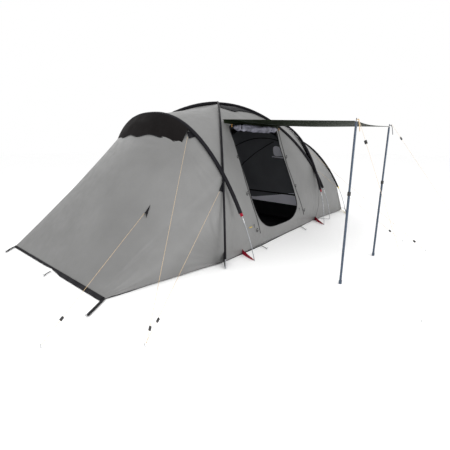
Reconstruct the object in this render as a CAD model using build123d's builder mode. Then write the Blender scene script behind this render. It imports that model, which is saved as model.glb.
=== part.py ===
from build123d import *
import math
import os

# Dome tent, pitched. Millimetres, +Z up, +X along the tent towards its steep end, the door faces -Y.
# The origin is on the ground, straight under the crossing of the two long poles.

os.makedirs("parts", exist_ok=True)

# ---------------------------------------------------------------- driving dimensions
TOP_HEIGHT = 2100              # height of the crown, where the two long poles cross
LONG_BEND = (1.924, 1.547)     # how full the long poles' curve is: along the ground, and upwards
ARCH_BEND = (2.377, 1.358)     # the same for the two side arches
END_BEND = (2.242, 1.328)      # the same for the low arch at the steep end

LONG_FOOT_LEFT = (-1605, -1560)    # pegged feet on the door side, mirrored to the rear
LONG_FOOT_RIGHT = (1568, -1485)
ARCH_FOOT_LEFT = (-1162, -1665)
ARCH_FOOT_RIGHT = (1100, -1582)
END_FOOT = (2200, -1562)
ARCH_TOP_LEFT = (-1398, 1860)      # x and height of each arch's top
ARCH_TOP_RIGHT = (1421, 1860)
END_TOP = (2043, 1565)
POLE_STACK = 8                 # the long poles pass each other this far above and below the crown

POLE_RADIUS = 5.5
POLE_BORE = 4.5
SECTION_GAP = 0.6
FERRULE_RADIUS = 6.8
FERRULE_LENGTH = 60
LONG_SECTIONS = 12
ARCH_SECTIONS = 10
END_SECTIONS = 9
TIP_RADIUS = 4.0
TIP_LENGTH = 45

CLOTH = 3                      # thickness of every cloth stand-in
HEM = 14                       # cloth hems hang this far above the ground
INSET = 0.985                  # the fly hangs inside the poles, drawn in by this factor
CROSSING = 1060                # height at which a long pole and an arch cross
TUCK_LEFT = 0.085              # how far the fly is drawn in from the long poles' feet
TUCK_RIGHT = 0.125
PANEL_SAG = 110                # the door panel curves inwards between its poles
WING_SAG = 25

WING_CORNER_FRONT = (-2950, -1150)
WING_CORNER_REAR = (-2950, 1285)
END_SEAM_FOOT = (2400, -1330)
END_SEAM_HEIGHT = 520
END_CORNER = (2515, -1312)

DOOR_CENTRE = -65
DOOR_HALF_WIDTH = 640
DOOR_BOTTOM = 195
DOOR_TOP = 1715
DOOR_CORNER = 260

SLEEVE_BORE = 9.4
SLEEVE_RADIUS = 11
SLEEVE_END = 615               # the coloured arches' sleeves start at this height
END_SLEEVE_END = 560

CANOPY_INNER_LEFT = (-680, -715, 1776)
CANOPY_INNER_RIGHT = (738, -748, 1722)
CANOPY_OUTER_LEFT = (-1100, -2757, 1677)
CANOPY_OUTER_RIGHT = (40, -2752, 1655)
CANOPY_POLE_RADIUS = 12.5
CANOPY_POLE_BORE = 11.2
CANOPY_INNER_TUBE = 10.9
CANOPY_INNER_BORE = 9.4
LOWER_TUBE_TOP = 960
UPPER_TUBE_BOTTOM = 540
FOOT_HEIGHT = 40
SPIKE_RADIUS = 4
SPIKE_LENGTH = 38
GROMMET_BORE = 6.5
GROMMET_RADIUS = 17

LINE_RADIUS = 1.6              # guylines
RUNNER_BORE = 2.4
PEG_RADIUS = 3.5
PEG_HEAD_RADIUS = 2.8
PEG_HEIGHT = 34
LINE_HEIGHT = 22               # a guyline meets its peg this far above the ground

CABIN_WALL = 1000              # the sleeping cabins' inner walls stand at this x, left and right
GROUND_CLOTH = 3


# ---------------------------------------------------------------- curves and surfaces
def half_wave(angle, bend):
    """Ground and height fractions of a bent pole; the angle runs from foot to foot."""
    along = math.copysign(abs(math.cos(angle)) ** (2 / bend[0]), math.cos(angle))
    return along, abs(math.sin(angle)) ** (2 / bend[1])


def long_pole(near_foot, far_foot, top, angle):
    along, up = half_wave(angle, LONG_BEND)
    foot = near_foot if along >= 0 else far_foot
    return Vector(foot[0] * abs(along), foot[1] * abs(along), top * up)


def rising_right(angle):
    """The long pole from the front left foot to the rear right foot."""
    rear = (LONG_FOOT_RIGHT[0], -LONG_FOOT_RIGHT[1])
    return long_pole(LONG_FOOT_LEFT, rear, TOP_HEIGHT + POLE_STACK, angle)


def rising_left(angle):
    """The long pole from the front right foot to the rear left foot."""
    rear = (LONG_FOOT_LEFT[0], -LONG_FOOT_LEFT[1])
    return long_pole(LONG_FOOT_RIGHT, rear, TOP_HEIGHT - POLE_STACK, angle)


def arch(foot, top, bend, angle):
    along, up = half_wave(angle, bend)
    return Vector(foot[0] + (top[0] - foot[0]) * up, foot[1] * along, top[1] * up)


def left_arch(angle):
    return arch(ARCH_FOOT_LEFT, ARCH_TOP_LEFT, ARCH_BEND, angle)


def right_arch(angle):
    return arch(ARCH_FOOT_RIGHT, ARCH_TOP_RIGHT, ARCH_BEND, angle)


def end_arch(angle):
    return arch(END_FOOT, END_TOP, END_BEND, angle)


def seam_at(foot, height, tuck):
    """The fly's seam under a long pole, at a height; below the crossing it is drawn in."""
    up, along = min(1, height / TOP_HEIGHT), LONG_BEND
    reach = (1 - up ** along[1]) ** (1 / along[0])
    drawn = INSET * (1 - tuck * max(0, 1 - height / CROSSING) ** 1.5)
    low = min(1, height / CROSSING)
    level = HEM + height * (1 - low * (1 - INSET)) * (1 - HEM / TOP_HEIGHT)
    return Vector(foot[0] * reach * drawn, foot[1] * reach * drawn, level)


def mirrored(point, flip):
    return Vector(point.X, -point.Y, point.Z) if flip else point


def door_wall(across, height):
    """The wall between the long poles on the door side; across runs from left to right."""
    left = seam_at(LONG_FOOT_LEFT, height, TUCK_LEFT)
    right = seam_at(LONG_FOOT_RIGHT, height, TUCK_RIGHT)
    sag = PANEL_SAG * 4 * across * (1 - across) * math.sin(math.pi * height / TOP_HEIGHT) ** 0.8
    return left + (right - left) * across + Vector(0, sag, 0)


def side_seam(pole, foot, tuck, angle):
    """Where a wing or end section starts: along the arch, and below the crossing along a long pole."""
    point = pole(angle)
    if point.Z >= CROSSING:
        level = HEM + point.Z * INSET * (1 - HEM / TOP_HEIGHT)
        return Vector(point.X * INSET, point.Y * INSET, level)
    return mirrored(seam_at(foot, point.Z, tuck), angle > math.pi / 2)


def left_seam(angle):
    return side_seam(left_arch, LONG_FOOT_LEFT, TUCK_LEFT, angle)


def right_seam(angle):
    return side_seam(right_arch, LONG_FOOT_RIGHT, TUCK_RIGHT, angle)


def end_seam(angle):
    """The seam under the end arch; its lowest stretch leaves the pole for the corner of the fly."""
    point = end_arch(angle)
    if point.Z >= END_SEAM_HEIGHT:
        return Vector(point.X * INSET, point.Y * INSET, HEM + point.Z * INSET)
    up = END_SEAM_HEIGHT / END_TOP[1]
    reach = (1 - up ** END_BEND[1]) ** (1 / END_BEND[0])
    start = Vector(END_FOOT[0] + (END_TOP[0] - END_FOOT[0]) * up, END_FOOT[1] * reach, END_SEAM_HEIGHT) * INSET
    start = mirrored(start + Vector(0, 0, HEM), angle > math.pi / 2)
    foot = mirrored(Vector(*END_SEAM_FOOT, HEM), angle > math.pi / 2)
    return start + (foot - start) * (1 - point.Z / END_SEAM_HEIGHT)


def wing(angle, along):
    """The long sloping wing: straight lines from the left seam to the pegged hem."""
    start = left_seam(angle)
    share = start.Y / abs(left_seam(0).Y)
    middle = (WING_CORNER_REAR[1] + WING_CORNER_FRONT[1]) / 2
    half = (WING_CORNER_REAR[1] - WING_CORNER_FRONT[1]) / 2
    hem = Vector(WING_CORNER_FRONT[0], middle + half * share, HEM)
    sag = WING_SAG * math.sin(math.pi * along) * start.Z / ARCH_TOP_LEFT[1]
    return start + (hem - start) * along - Vector(0, 0, sag)


def end_section(angle, along):
    start, finish = right_seam(angle), end_seam(angle)
    return start + (finish - start) * along


def end_wall(angle, along):
    start = end_seam(angle)
    share = start.Y / abs(end_seam(END_ANGLE).Y)
    hem = Vector(END_CORNER[0], END_CORNER[1] * -share, HEM)
    return start + (hem - start) * along


def arch_shape(share, foot, top):
    """Height of the arch over the crossing, as a fraction, at a share of the way to the crossing."""
    low = (CROSSING / top[1]) ** ARCH_BEND[1]
    reach = (1 - low) ** (1 / ARCH_BEND[0])
    height = top[1] * (1 - (reach * abs(share)) ** ARCH_BEND[0]) ** (1 / ARCH_BEND[1])
    return (height - CROSSING) / (top[1] - CROSSING)


def shoulder(foot, arch_foot, arch_top, out, share):
    """The three-sided roof between the long poles and an arch; out runs from crown to arch."""
    crossing_reach = (1 - (CROSSING / TOP_HEIGHT) ** LONG_BEND[1]) ** (1 / LONG_BEND[0])
    height = TOP_HEIGHT * (1 - (crossing_reach * out) ** LONG_BEND[0]) ** (1 / LONG_BEND[1])
    edge = seam_at(foot, height, 0)
    ridge_sag = 25 * math.sin(math.pi * out)
    ridge_x = arch_top[0] * INSET * out
    ridge_z = HEM + (TOP_HEIGHT + (arch_top[1] - TOP_HEIGHT) * out) * INSET - ridge_sag
    lift = arch_shape(share, arch_foot, arch_top)
    return Vector(edge.X + (ridge_x - edge.X) * lift, -edge.Y * share, edge.Z + (ridge_z - edge.Z) * lift)


def steps(first, last, count):
    return [first + (last - first) * i / (count - 1) for i in range(count)]


# ---------------------------------------------------------------- builders for repeated pieces
def finish(name, label):
    name.part.label = label
    export_step(name.part, f"parts/{label}.step")
    return name.part


def cloth_panel(label, rows):
    """A closed thin sheet through a grid of points."""
    surface = Face.make_surface_from_array_of_points(rows, tol=1.5)
    with BuildPart() as panel:
        thicken(surface, amount=CLOTH / 2, both=True)
    return finish(panel, label)


def even_angles(pole, count, first=0.0, last=math.pi):
    """Angles that divide a pole into stretches of equal length."""
    fine = steps(first, last, 400)
    lengths = [0.0]
    for i in range(1, len(fine)):
        lengths.append(lengths[-1] + (pole(fine[i]) - pole(fine[i - 1])).length)
    angles = []
    for target in steps(0, lengths[-1], count):
        index = min(range(len(fine)), key=lambda i: abs(lengths[i] - target))
        angles.append(fine[index])
    return angles


def arc_tubes(pole, angles, outer, bore, gap):
    """Bent tubes end to end along a pole's curve, with a small gap at each joint."""
    for first, last in zip(angles[:-1], angles[1:]):
        length = (pole(last) - pole(first)).length
        trim = (last - first) * gap / length
        with BuildLine() as axis:
            ThreePointArc(pole(first + trim), pole((first + last) / 2), pole(last - trim))
        with BuildSketch(Plane(origin=axis.line @ 0, z_dir=axis.line % 0)) as section:
            Circle(outer)
            Circle(bore, mode=Mode.SUBTRACT)
        sweep(section.sketch, path=axis.line)


def curved_pole(label, pole, sections):
    with BuildPart() as tube:
        arc_tubes(pole, even_angles(pole, sections + 1, 0.03, math.pi - 0.03), POLE_RADIUS, POLE_BORE, SECTION_GAP)
    return finish(tube, label)


def ring_at(origin, direction, outer, bore, length):
    with BuildSketch(Plane(origin=origin, z_dir=direction)) as section:
        Circle(outer)
        Circle(bore, mode=Mode.SUBTRACT)
    extrude(section.sketch, amount=length / 2, both=True)


def rod(start, end, radius):
    """A straight round bar inside the current part."""
    with BuildSketch(Plane(origin=start, z_dir=end - start)) as section:
        Circle(radius)
    extrude(section.sketch, amount=(end - start).length)


def strap(start, end, width, thickness=2.5):
    """Flat webbing from one point to another, its width level with the ground."""
    run = end - start
    level = Vector(0, 0, 1).cross(run).normalized()
    with BuildSketch(Plane(origin=start, x_dir=level, z_dir=run)) as section:
        Rectangle(width, thickness)
    extrude(section.sketch, amount=run.length)


def peg(spot, away):
    """The part of a hooked peg that shows: its shank and its bent head."""
    neck = Vector(spot.X, spot.Y, PEG_HEIGHT - PEG_HEAD_RADIUS - 1)
    rod(Vector(spot.X, spot.Y, 0), Vector(spot.X, spot.Y, PEG_HEIGHT), PEG_RADIUS)
    rod(neck, neck + Vector(away.X, away.Y, 0).normalized() * 20, PEG_HEAD_RADIUS)


# ---------------------------------------------------------------- poles
curved_pole("long_pole_front_left", rising_right, LONG_SECTIONS)
curved_pole("long_pole_front_right", rising_left, LONG_SECTIONS)
curved_pole("arch_pole_left", left_arch, ARCH_SECTIONS)
curved_pole("arch_pole_right", right_arch, ARCH_SECTIONS)
curved_pole("arch_pole_end", end_arch, END_SECTIONS)

POLES = [
    (rising_right, LONG_SECTIONS),
    (rising_left, LONG_SECTIONS),
    (left_arch, ARCH_SECTIONS),
    (right_arch, ARCH_SECTIONS),
    (end_arch, END_SECTIONS),
]

# A ferrule covers every joint between two pole sections.
with BuildPart() as ferrules:
    for pole, sections in POLES:
        for angle in even_angles(pole, sections + 1, 0.03, math.pi - 0.03)[1:-1]:
            if abs(pole(angle).Z - TOP_HEIGHT) > 3 * POLE_STACK:
                heading = pole(angle + 0.01) - pole(angle - 0.01)
                ring_at(pole(angle), heading, FERRULE_RADIUS, POLE_RADIUS + 0.4, FERRULE_LENGTH)
finish(ferrules, "pole_ferrules")

# A tip closes each end of each pole and stands on the ground.
with BuildPart() as tips:
    for pole, sections in POLES:
        for angle, inwards in ((0.03, 0.02), (math.pi - 0.03, -0.02)):
            end = pole(angle)
            heading = (end - pole(angle + inwards)).normalized()
            with BuildSketch(Plane(origin=end + heading * 0.5, z_dir=heading)):
                Circle(POLE_RADIUS + 1)
            extrude(amount=6)
            foot = end + heading * 6
            rod(foot, Vector(foot.X + heading.X * 4, foot.Y + heading.Y * 4, 0.5), TIP_RADIUS)
    split(bisect_by=Plane.XY, keep=Keep.TOP)
finish(tips, "pole_tips")

# ---------------------------------------------------------------- sleeves
def angle_at(pole, height, first, last):
    """The angle in a stretch of a pole at which it reaches a height."""
    return min(steps(first, last, 3000), key=lambda angle: abs(pole(angle).Z - height))


def sleeve_span(pole, height):
    low = angle_at(pole, height, 0.01, math.pi / 2)
    return low, math.pi - low


GAP_AT_CROWN = 0.045
long_low = angle_at(rising_right, 120, 0.01, math.pi / 2)
crossed_low = sleeve_span(rising_left, SLEEVE_END)[0]
LONG_SLEEVES = (
    (rising_right, long_low, math.pi - long_low, LONG_SECTIONS),
    (rising_left, crossed_low, math.pi / 2 - GAP_AT_CROWN, LONG_SECTIONS // 2),
    (rising_left, math.pi / 2 + GAP_AT_CROWN, math.pi - crossed_low, LONG_SECTIONS // 2),
)
ARCH_SLEEVES = (
    (left_arch, *sleeve_span(left_arch, SLEEVE_END), ARCH_SECTIONS),
    (right_arch, *sleeve_span(right_arch, SLEEVE_END), ARCH_SECTIONS),
    (end_arch, *sleeve_span(end_arch, END_SLEEVE_END), END_SECTIONS),
)
for label, spans in (("sleeves_long_poles", LONG_SLEEVES), ("sleeves_arch_poles", ARCH_SLEEVES)):
    with BuildPart() as sleeves:
        for pole, first, last, sections in spans:
            arc_tubes(pole, even_angles(pole, sections + 1, first, last), SLEEVE_RADIUS, SLEEVE_BORE, SECTION_GAP)
    finish(sleeves, label)

# ---------------------------------------------------------------- flysheet
CROWN_HEIGHT = 2055            # the walls and roof stop here, under the crown patch
wall_heights = steps(0, CROWN_HEIGHT, 15)
door_rows = [[door_wall(across, height) for across in steps(0.006, 0.994, 9)] for height in wall_heights]
door_surface = Face.make_surface_from_array_of_points(door_rows, tol=1.5)
with BuildPart() as door_panel:
    thicken(door_surface, amount=CLOTH / 2, both=True)
    with BuildSketch(Plane.XZ):
        with Locations((DOOR_CENTRE, (DOOR_BOTTOM + DOOR_TOP) / 2)):
            RectangleRounded(2 * DOOR_HALF_WIDTH, DOOR_TOP - DOOR_BOTTOM, DOOR_CORNER)
    extrude(amount=2 * TOP_HEIGHT, mode=Mode.SUBTRACT)
finish(door_panel, "fly_door_wall")

rear_rows = [[mirrored(point, True) for point in row] for row in door_rows]
cloth_panel("fly_rear_wall", rear_rows)

shares = steps(-0.985, 0.985, 13)
outs = steps(0.14, 0.992, 7)
cloth_panel(
    "fly_left_shoulder",
    [[shoulder(LONG_FOOT_LEFT, ARCH_FOOT_LEFT, ARCH_TOP_LEFT, out, share) for share in shares] for out in outs],
)
cloth_panel(
    "fly_right_shoulder",
    [[shoulder(LONG_FOOT_RIGHT, ARCH_FOOT_RIGHT, ARCH_TOP_RIGHT, out, share) for share in shares] for out in outs],
)

# The wing and the end wall are each sewn from a top panel, from an arch to the hem, and two low panels.
WING_ANGLE = angle_at(left_arch, CROSSING + 60, 0.1, math.pi / 2)
END_ANGLE = angle_at(end_arch, END_SEAM_HEIGHT, 0.05, math.pi / 2)


def low_panel(corner, seam_low, seam_high, share):
    """A flat triangle of cloth, drawn in a little from its sewn edges."""
    middle = (corner + seam_low + seam_high) * (1 / 3)
    side = (seam_low - corner).cross(seam_high - corner).normalized()
    plane = Plane(origin=middle, z_dir=side)
    triangle = [
        plane.to_local_coords(middle + (point - middle) * share) for point in (corner, seam_low, seam_high)
    ]
    with BuildSketch(plane) as section:
        with BuildLine():
            Polyline(*triangle, close=True)
        make_face()
    extrude(section.sketch, amount=CLOTH / 2, both=True)


arch_rise = Vector(ARCH_TOP_LEFT[0] - ARCH_FOOT_LEFT[0], 0, ARCH_TOP_LEFT[1]) * INSET
arch_plane = Plane(
    origin=(ARCH_FOOT_LEFT[0] * INSET, 0, HEM), x_dir=(0, 1, 0), z_dir=Vector(0, 1, 0).cross(arch_rise)
)
hem_slope = Vector(*WING_CORNER_FRONT, 0) - Vector(ARCH_TOP_LEFT[0], WING_CORNER_FRONT[1], ARCH_TOP_LEFT[1])
hem_middle = (WING_CORNER_REAR[1] + WING_CORNER_FRONT[1]) / 2
hem_plane = Plane(origin=(WING_CORNER_FRONT[0], hem_middle, HEM), x_dir=(0, 1, 0), z_dir=-hem_slope)


def arch_line(drawn_in):
    """The left seam in its own plane, drawn in by some of the cloth's thickness."""
    points = []
    for angle in steps(WING_ANGLE, math.pi - WING_ANGLE, 13):
        along, up = half_wave(angle, ARCH_BEND)
        reach = abs(ARCH_FOOT_LEFT[1]) * INSET - drawn_in
        points.append((-reach * along, (arch_rise.length - drawn_in) * up))
    return points


with BuildPart() as left_wing:
    with BuildSketch(arch_plane):
        with BuildLine():
            outer_line = Spline(*arch_line(0))
            inner_line = Spline(*arch_line(CLOTH))
            Line(outer_line @ 1, inner_line @ 1)
            Line(inner_line @ 0, outer_line @ 0)
        make_face()
    with BuildSketch(hem_plane):
        Rectangle(WING_CORNER_REAR[1] - WING_CORNER_FRONT[1], CLOTH)
    loft(ruled=True)
    for flip, corner in ((False, WING_CORNER_FRONT), (True, WING_CORNER_REAR)):
        seam_high = mirrored(left_seam(WING_ANGLE), flip)
        low_panel(Vector(*corner, HEM), mirrored(left_seam(0), flip), seam_high, 0.98)
finish(left_wing, "fly_left_wing")

end_angles = steps(END_ANGLE, math.pi - END_ANGLE, 25)
end_rows = [[end_wall(angle, r) for angle in end_angles] for r in (0.012, 0.35, 0.7, 1)]
with BuildPart() as end_panel:
    thicken(Face.make_surface_from_array_of_points(end_rows, tol=1.5), amount=CLOTH / 2, both=True)
    for flip in (False, True):
        seam_high = mirrored(end_seam(END_ANGLE), flip)
        corner = mirrored(Vector(*END_CORNER, HEM), flip)
        low_panel(corner, mirrored(end_seam(0), flip), seam_high, 0.85)
finish(end_panel, "fly_end_wall")

seam_angles = steps(0, math.pi, 29)
cloth_panel("fly_right_section", [[end_section(angle, r) for angle in seam_angles] for r in (0.008, 0.35, 0.7, 0.992)])

# The crown patch bridges the four panels under the crossing of the long poles.
with BuildPart() as crown_patch:
    with BuildSketch(Plane.XY.offset(TOP_HEIGHT * INSET - 22)):
        Rectangle(320, 300)
        fillet(vertices(), 60)
    extrude(amount=-CLOTH)
finish(crown_patch, "crown_patch")

# ---------------------------------------------------------------- vent hood
HOOD_FIRST = 1.12              # where along its arch a hood starts
HOOD_DROP = (1568, 118)        # height of the hood's free edge, and how much lower its ends are
HOOD_REACH = (1648, 118)       # the same for how far out it stands


def hood(angle, out):
    start = left_arch(angle) + Vector(-(SLEEVE_RADIUS + 6), 0, 4)
    share = start.Y / abs(left_arch(HOOD_FIRST).Y)
    edge_x = -(HOOD_REACH[0] - HOOD_REACH[1] * share ** 2)
    edge = Vector(edge_x, start.Y * 0.96, HOOD_DROP[0] - HOOD_DROP[1] * share ** 2)
    return start + (edge - start) * out


hood_angles = steps(HOOD_FIRST, math.pi - HOOD_FIRST, 11)
cloth_panel("vent_hood", [[hood(angle, out) for angle in hood_angles] for out in (0, 0.33, 0.67, 1)])

# ---------------------------------------------------------------- ground and inner tents
with BuildPart() as groundsheet:
    with BuildSketch():
        with BuildLine():
            Polyline((-2880, 0), (-2880, -1080), (-1420, -1330), (1330, -1215), (2440, -1270), (2440, 0))
            mirror(about=Plane.XZ)
        make_face()
    extrude(amount=GROUND_CLOTH)
finish(groundsheet, "groundsheet")



def cabin_outline(half_width, height):
    """Half of a cabin's cross-section, from the floor up to its ridge."""
    shape = ((1, 0.02), (0.97, 0.3), (0.86, 0.58), (0.66, 0.81), (0.35, 0.95), (0, 1))
    Spline(*[(-half_width * across, height * up) for across, up in shape])
    mirror(about=Plane.YZ)
    Line((-half_width, height * 0.02), (half_width, height * 0.02))


CABIN_SECTIONS = {
    "left": ((-1012, 1150, 1720), (-2600, 880, 300)),
    "right": ((1012, 1150, 1720), (2045, 1060, 1340)),
}
for label, sections in CABIN_SECTIONS.items():
    wall_x, wall_half, wall_height = sections[0]
    with BuildPart() as cabin_wall:
        with BuildSketch(Plane.YZ.offset(math.copysign(CABIN_WALL, wall_x))):
            with BuildLine():
                cabin_outline(wall_half, wall_height)
            make_face()
        extrude(amount=CLOTH)
    finish(cabin_wall, f"inner_tent_{label}_wall")
    with BuildPart() as cabin_roof:
        for station, half, height in sections:
            with BuildSketch(Plane.YZ.offset(station)):
                with BuildLine():
                    cabin_outline(half, height)
                make_face()
        loft(ruled=True)
        for station, half, height in sections:
            with BuildSketch(Plane.YZ.offset(station)):
                with BuildLine():
                    cabin_outline(half - CLOTH, height - CLOTH)
                make_face()
        loft(ruled=True, mode=Mode.SUBTRACT)
    finish(cabin_roof, f"inner_tent_{label}_roof")

# ---------------------------------------------------------------- hems, straps and pegs
hem_line = [
    Vector(*WING_CORNER_FRONT),
    Vector(left_seam(0).X, left_seam(0).Y),
    Vector(right_seam(0).X, right_seam(0).Y),
    Vector(*END_CORNER),
    Vector(END_CORNER[0], -END_CORNER[1]),
    Vector(right_seam(0).X, -right_seam(0).Y),
    Vector(left_seam(0).X, -left_seam(0).Y),
    Vector(*WING_CORNER_REAR),
]
PIPING = 4.5
with BuildPart() as piping:
    for first, last in zip(hem_line[:-1], hem_line[1:]):
        run = (last - first).normalized()
        lift = Vector(0, 0, PIPING)
        rod(first + run * 8 + lift, last - run * 8 + lift, PIPING)
finish(piping, "hem_piping")

with BuildPart() as mud_flap:
    strap(Vector(-2985, -1120, 2), Vector(-2985, 1255, 2), 50, 4)
finish(mud_flap, "mud_flap")

corner_front = Vector(*WING_CORNER_FRONT, 8)
corner_rear = Vector(*WING_CORNER_REAR, 8)
peg_front, peg_middle, peg_rear = Vector(-3218, -1334), Vector(-3112, -134), Vector(-3128, 1105)
loop_starts = (Vector(-616, -1425), Vector(711, -1385))
loop_pegs = (Vector(-694, -1545), Vector(560, -1505))


def strap_to_peg(start, spot, width):
    """Webbing that ends just short of its peg."""
    run = Vector(spot.X, spot.Y, 12) - start
    strap(start, start + run * (1 - (PEG_RADIUS + 1) / run.length), width)


with BuildPart() as corner_straps:
    strap_to_peg(corner_front + Vector(-14, -10, 0), peg_front, 28)
    strap_to_peg(corner_rear + Vector(-14, -10, 0), peg_rear, 18)
    strap_to_peg(Vector(-3020, -68, 8), peg_middle, 14)
    for start, spot in zip(loop_starts, loop_pegs):
        strap_to_peg(start + Vector(0, 0, 8), spot, 10)
        strap_to_peg(mirrored(start, True) + Vector(0, 0, 8), mirrored(spot, True), 10)
finish(corner_straps, "pegging_straps")

def foot_strap(foot, hem_point, width, flip):
    """Webbing from the hem to just short of a pole's foot."""
    start = mirrored(Vector(*hem_point, 16), flip)
    end = mirrored(Vector(*foot, 16), flip)
    run = end - start
    strap(start, end - run * (10 / run.length), width)


with BuildPart() as red_straps:
    for flip in (False, True):
        foot_strap(ARCH_FOOT_LEFT, (-1060, -1428), 22, flip)
        foot_strap(ARCH_FOOT_RIGHT, (1290, -1322), 22, flip)
finish(red_straps, "arch_foot_straps")

with BuildPart() as long_straps:
    for flip in (False, True):
        foot_strap(LONG_FOOT_LEFT, (-1485, -1450), 46, flip)
        foot_strap(LONG_FOOT_RIGHT, (1420, -1335), 22, flip)
finish(long_straps, "long_foot_straps")

with BuildPart() as end_straps:
    for flip in (False, True):
        foot_strap(END_FOOT, (2395, -1368), 20, flip)
finish(end_straps, "end_foot_straps")

# ---------------------------------------------------------------- door canopy on its two poles
inner_left, inner_right = Vector(*CANOPY_INNER_LEFT), Vector(*CANOPY_INNER_RIGHT)
outer_left, outer_right = Vector(*CANOPY_OUTER_LEFT), Vector(*CANOPY_OUTER_RIGHT)
CANOPY_SAG = 18


def canopy_point(across, out):
    inner = inner_left + (inner_right - inner_left) * across
    outer = outer_left + (outer_right - outer_left) * across
    sag = CANOPY_SAG * math.sin(math.pi * across) * math.sin(math.pi * out)
    return inner + (outer - inner) * out - Vector(0, 0, sag)


canopy_surface = Face.make_surface_from_array_of_points(
    [[canopy_point(across, out) for across in steps(0, 1, 7)] for out in steps(0, 1.012, 7)], tol=1.5
)
with BuildPart() as canopy:
    thicken(canopy_surface, amount=CLOTH / 2, both=True)
    for corner in (outer_left, outer_right):
        with BuildSketch(Plane.XY.offset(corner.Z - 60)):
            with Locations((corner.X, corner.Y)):
                Circle(GROMMET_RADIUS + 2)
        extrude(amount=120, mode=Mode.SUBTRACT)
finish(canopy, "door_canopy")

with BuildPart() as grommets:
    for corner in (outer_left, outer_right):
        ring_at(corner, Vector(0, 0, 1), GROMMET_RADIUS, GROMMET_BORE, 6)
finish(grommets, "canopy_grommets")

# Each canopy pole is two tubes, one sliding in the other, with a spike on top and a foot below.
for side, corner in (("left", outer_left), ("right", outer_right)):
    base = Plane(origin=(corner.X, corner.Y, 0))
    with BuildPart() as lower_tube:
        with BuildSketch(base.offset(FOOT_HEIGHT)):
            Circle(CANOPY_POLE_RADIUS)
            Circle(CANOPY_POLE_BORE, mode=Mode.SUBTRACT)
        extrude(amount=LOWER_TUBE_TOP - FOOT_HEIGHT)
        with BuildSketch(base):
            Circle(CANOPY_POLE_RADIUS + 4)
        extrude(amount=FOOT_HEIGHT - 1)
        with BuildSketch(base.offset(FOOT_HEIGHT - 1)):
            Circle(CANOPY_POLE_BORE - 0.4)
        extrude(amount=24)
        chamfer(lower_tube.edges().group_by(Axis.Z)[0], 3)
    finish(lower_tube, f"canopy_pole_{side}_lower")
    with BuildPart() as clamp:
        ring_at(Vector(corner.X, corner.Y, LOWER_TUBE_TOP + 21), Vector(0, 0, 1), CANOPY_POLE_RADIUS + 4.5,
                CANOPY_INNER_TUBE + 0.4, 40)
        chamfer(clamp.edges().group_by(Axis.Z)[-1].sort_by(SortBy.RADIUS)[-1], 3)
    finish(clamp, f"canopy_pole_{side}_clamp")
    shoulder_height = corner.Z - 10
    with BuildPart() as upper_tube:
        with BuildSketch(base.offset(UPPER_TUBE_BOTTOM)):
            Circle(CANOPY_INNER_TUBE)
            Circle(CANOPY_INNER_BORE, mode=Mode.SUBTRACT)
        extrude(amount=shoulder_height - 18 - UPPER_TUBE_BOTTOM)
        with BuildSketch(base.offset(shoulder_height - 17)):
            Circle(CANOPY_INNER_TUBE)
        extrude(amount=17)
        with BuildSketch(base.offset(shoulder_height)):
            Circle(SPIKE_RADIUS)
        extrude(amount=SPIKE_LENGTH)
        chamfer(upper_tube.edges().group_by(Axis.Z)[-1], 1.5)
    finish(upper_tube, f"canopy_pole_{side}_upper")

# ---------------------------------------------------------------- rolled door, toggles, zips
ROLL_RADIUS = 42
with BuildPart() as rolled_door:
    with BuildLine() as roll_axis:
        ThreePointArc((-500, -806, 1664), (30, -776, 1646), (570, -830, 1646))
    with BuildSketch(Plane(origin=roll_axis.line @ 0, z_dir=roll_axis.line % 0)):
        Ellipse(ROLL_RADIUS * 0.8, ROLL_RADIUS)
    sweep(path=roll_axis.line)
finish(rolled_door, "rolled_door")

TOGGLE_LENGTH = 44
for side, spot in (("left", Vector(-580, -800, 1694)), ("right", Vector(660, -826, 1662))):
    with BuildPart() as toggle:
        rod(spot - Vector(0, 0, TOGGLE_LENGTH / 2), spot + Vector(0, 0, TOGGLE_LENGTH / 2), 5)
        fillet(toggle.edges().filter_by(GeomType.CIRCLE), 2)
    finish(toggle, f"door_toggle_{side}")


def on_door_wall(x, height, off=0.0):
    """A point in front of the door wall at a given x and height."""
    left, right = door_wall(0, height), door_wall(1, height)
    point = door_wall((x - left.X) / (right.X - left.X), height)
    return point + Vector(0, -off, 0)


ZIP_HALF = DOOR_HALF_WIDTH + 62
with BuildPart() as zip_tapes:
    for side in (-1, 1):
        heights = steps(260, 1640, 7)
        for low, high in zip(heights[:-1], heights[1:]):
            start = on_door_wall(DOOR_CENTRE + side * ZIP_HALF, low + 4, 10)
            end = on_door_wall(DOOR_CENTRE + side * ZIP_HALF, high - 4, 10)
            strap(start, end, 12, 2)
finish(zip_tapes, "door_zips")

SLIDER_LOW = 330
SLIDER_TRAVEL = 300
for side, sign in (("left", -1), ("right", 1)):
    spot = on_door_wall(DOOR_CENTRE + sign * ZIP_HALF, SLIDER_LOW, 21)
    ahead = on_door_wall(DOOR_CENTRE + sign * ZIP_HALF, SLIDER_LOW + SLIDER_TRAVEL, 21)
    heading = (ahead - spot).normalized()
    with BuildPart() as slider:
        strap(spot, spot + heading * 14, 12, 7)
        strap(spot - heading * 34, spot - heading * 1, 7, 2)
    finish(slider, f"zip_slider_{side}")
    print(f"zip_slider_{side}", "axis", tuple(round(value, 4) for value in heading))

with BuildPart() as label_tab:
    tab_spot = on_door_wall(-860, 318, 8)
    strap(tab_spot - Vector(26, 0, 0), tab_spot + Vector(26, 0, 0), 8, 2)
finish(label_tab, "label_tab")

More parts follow.
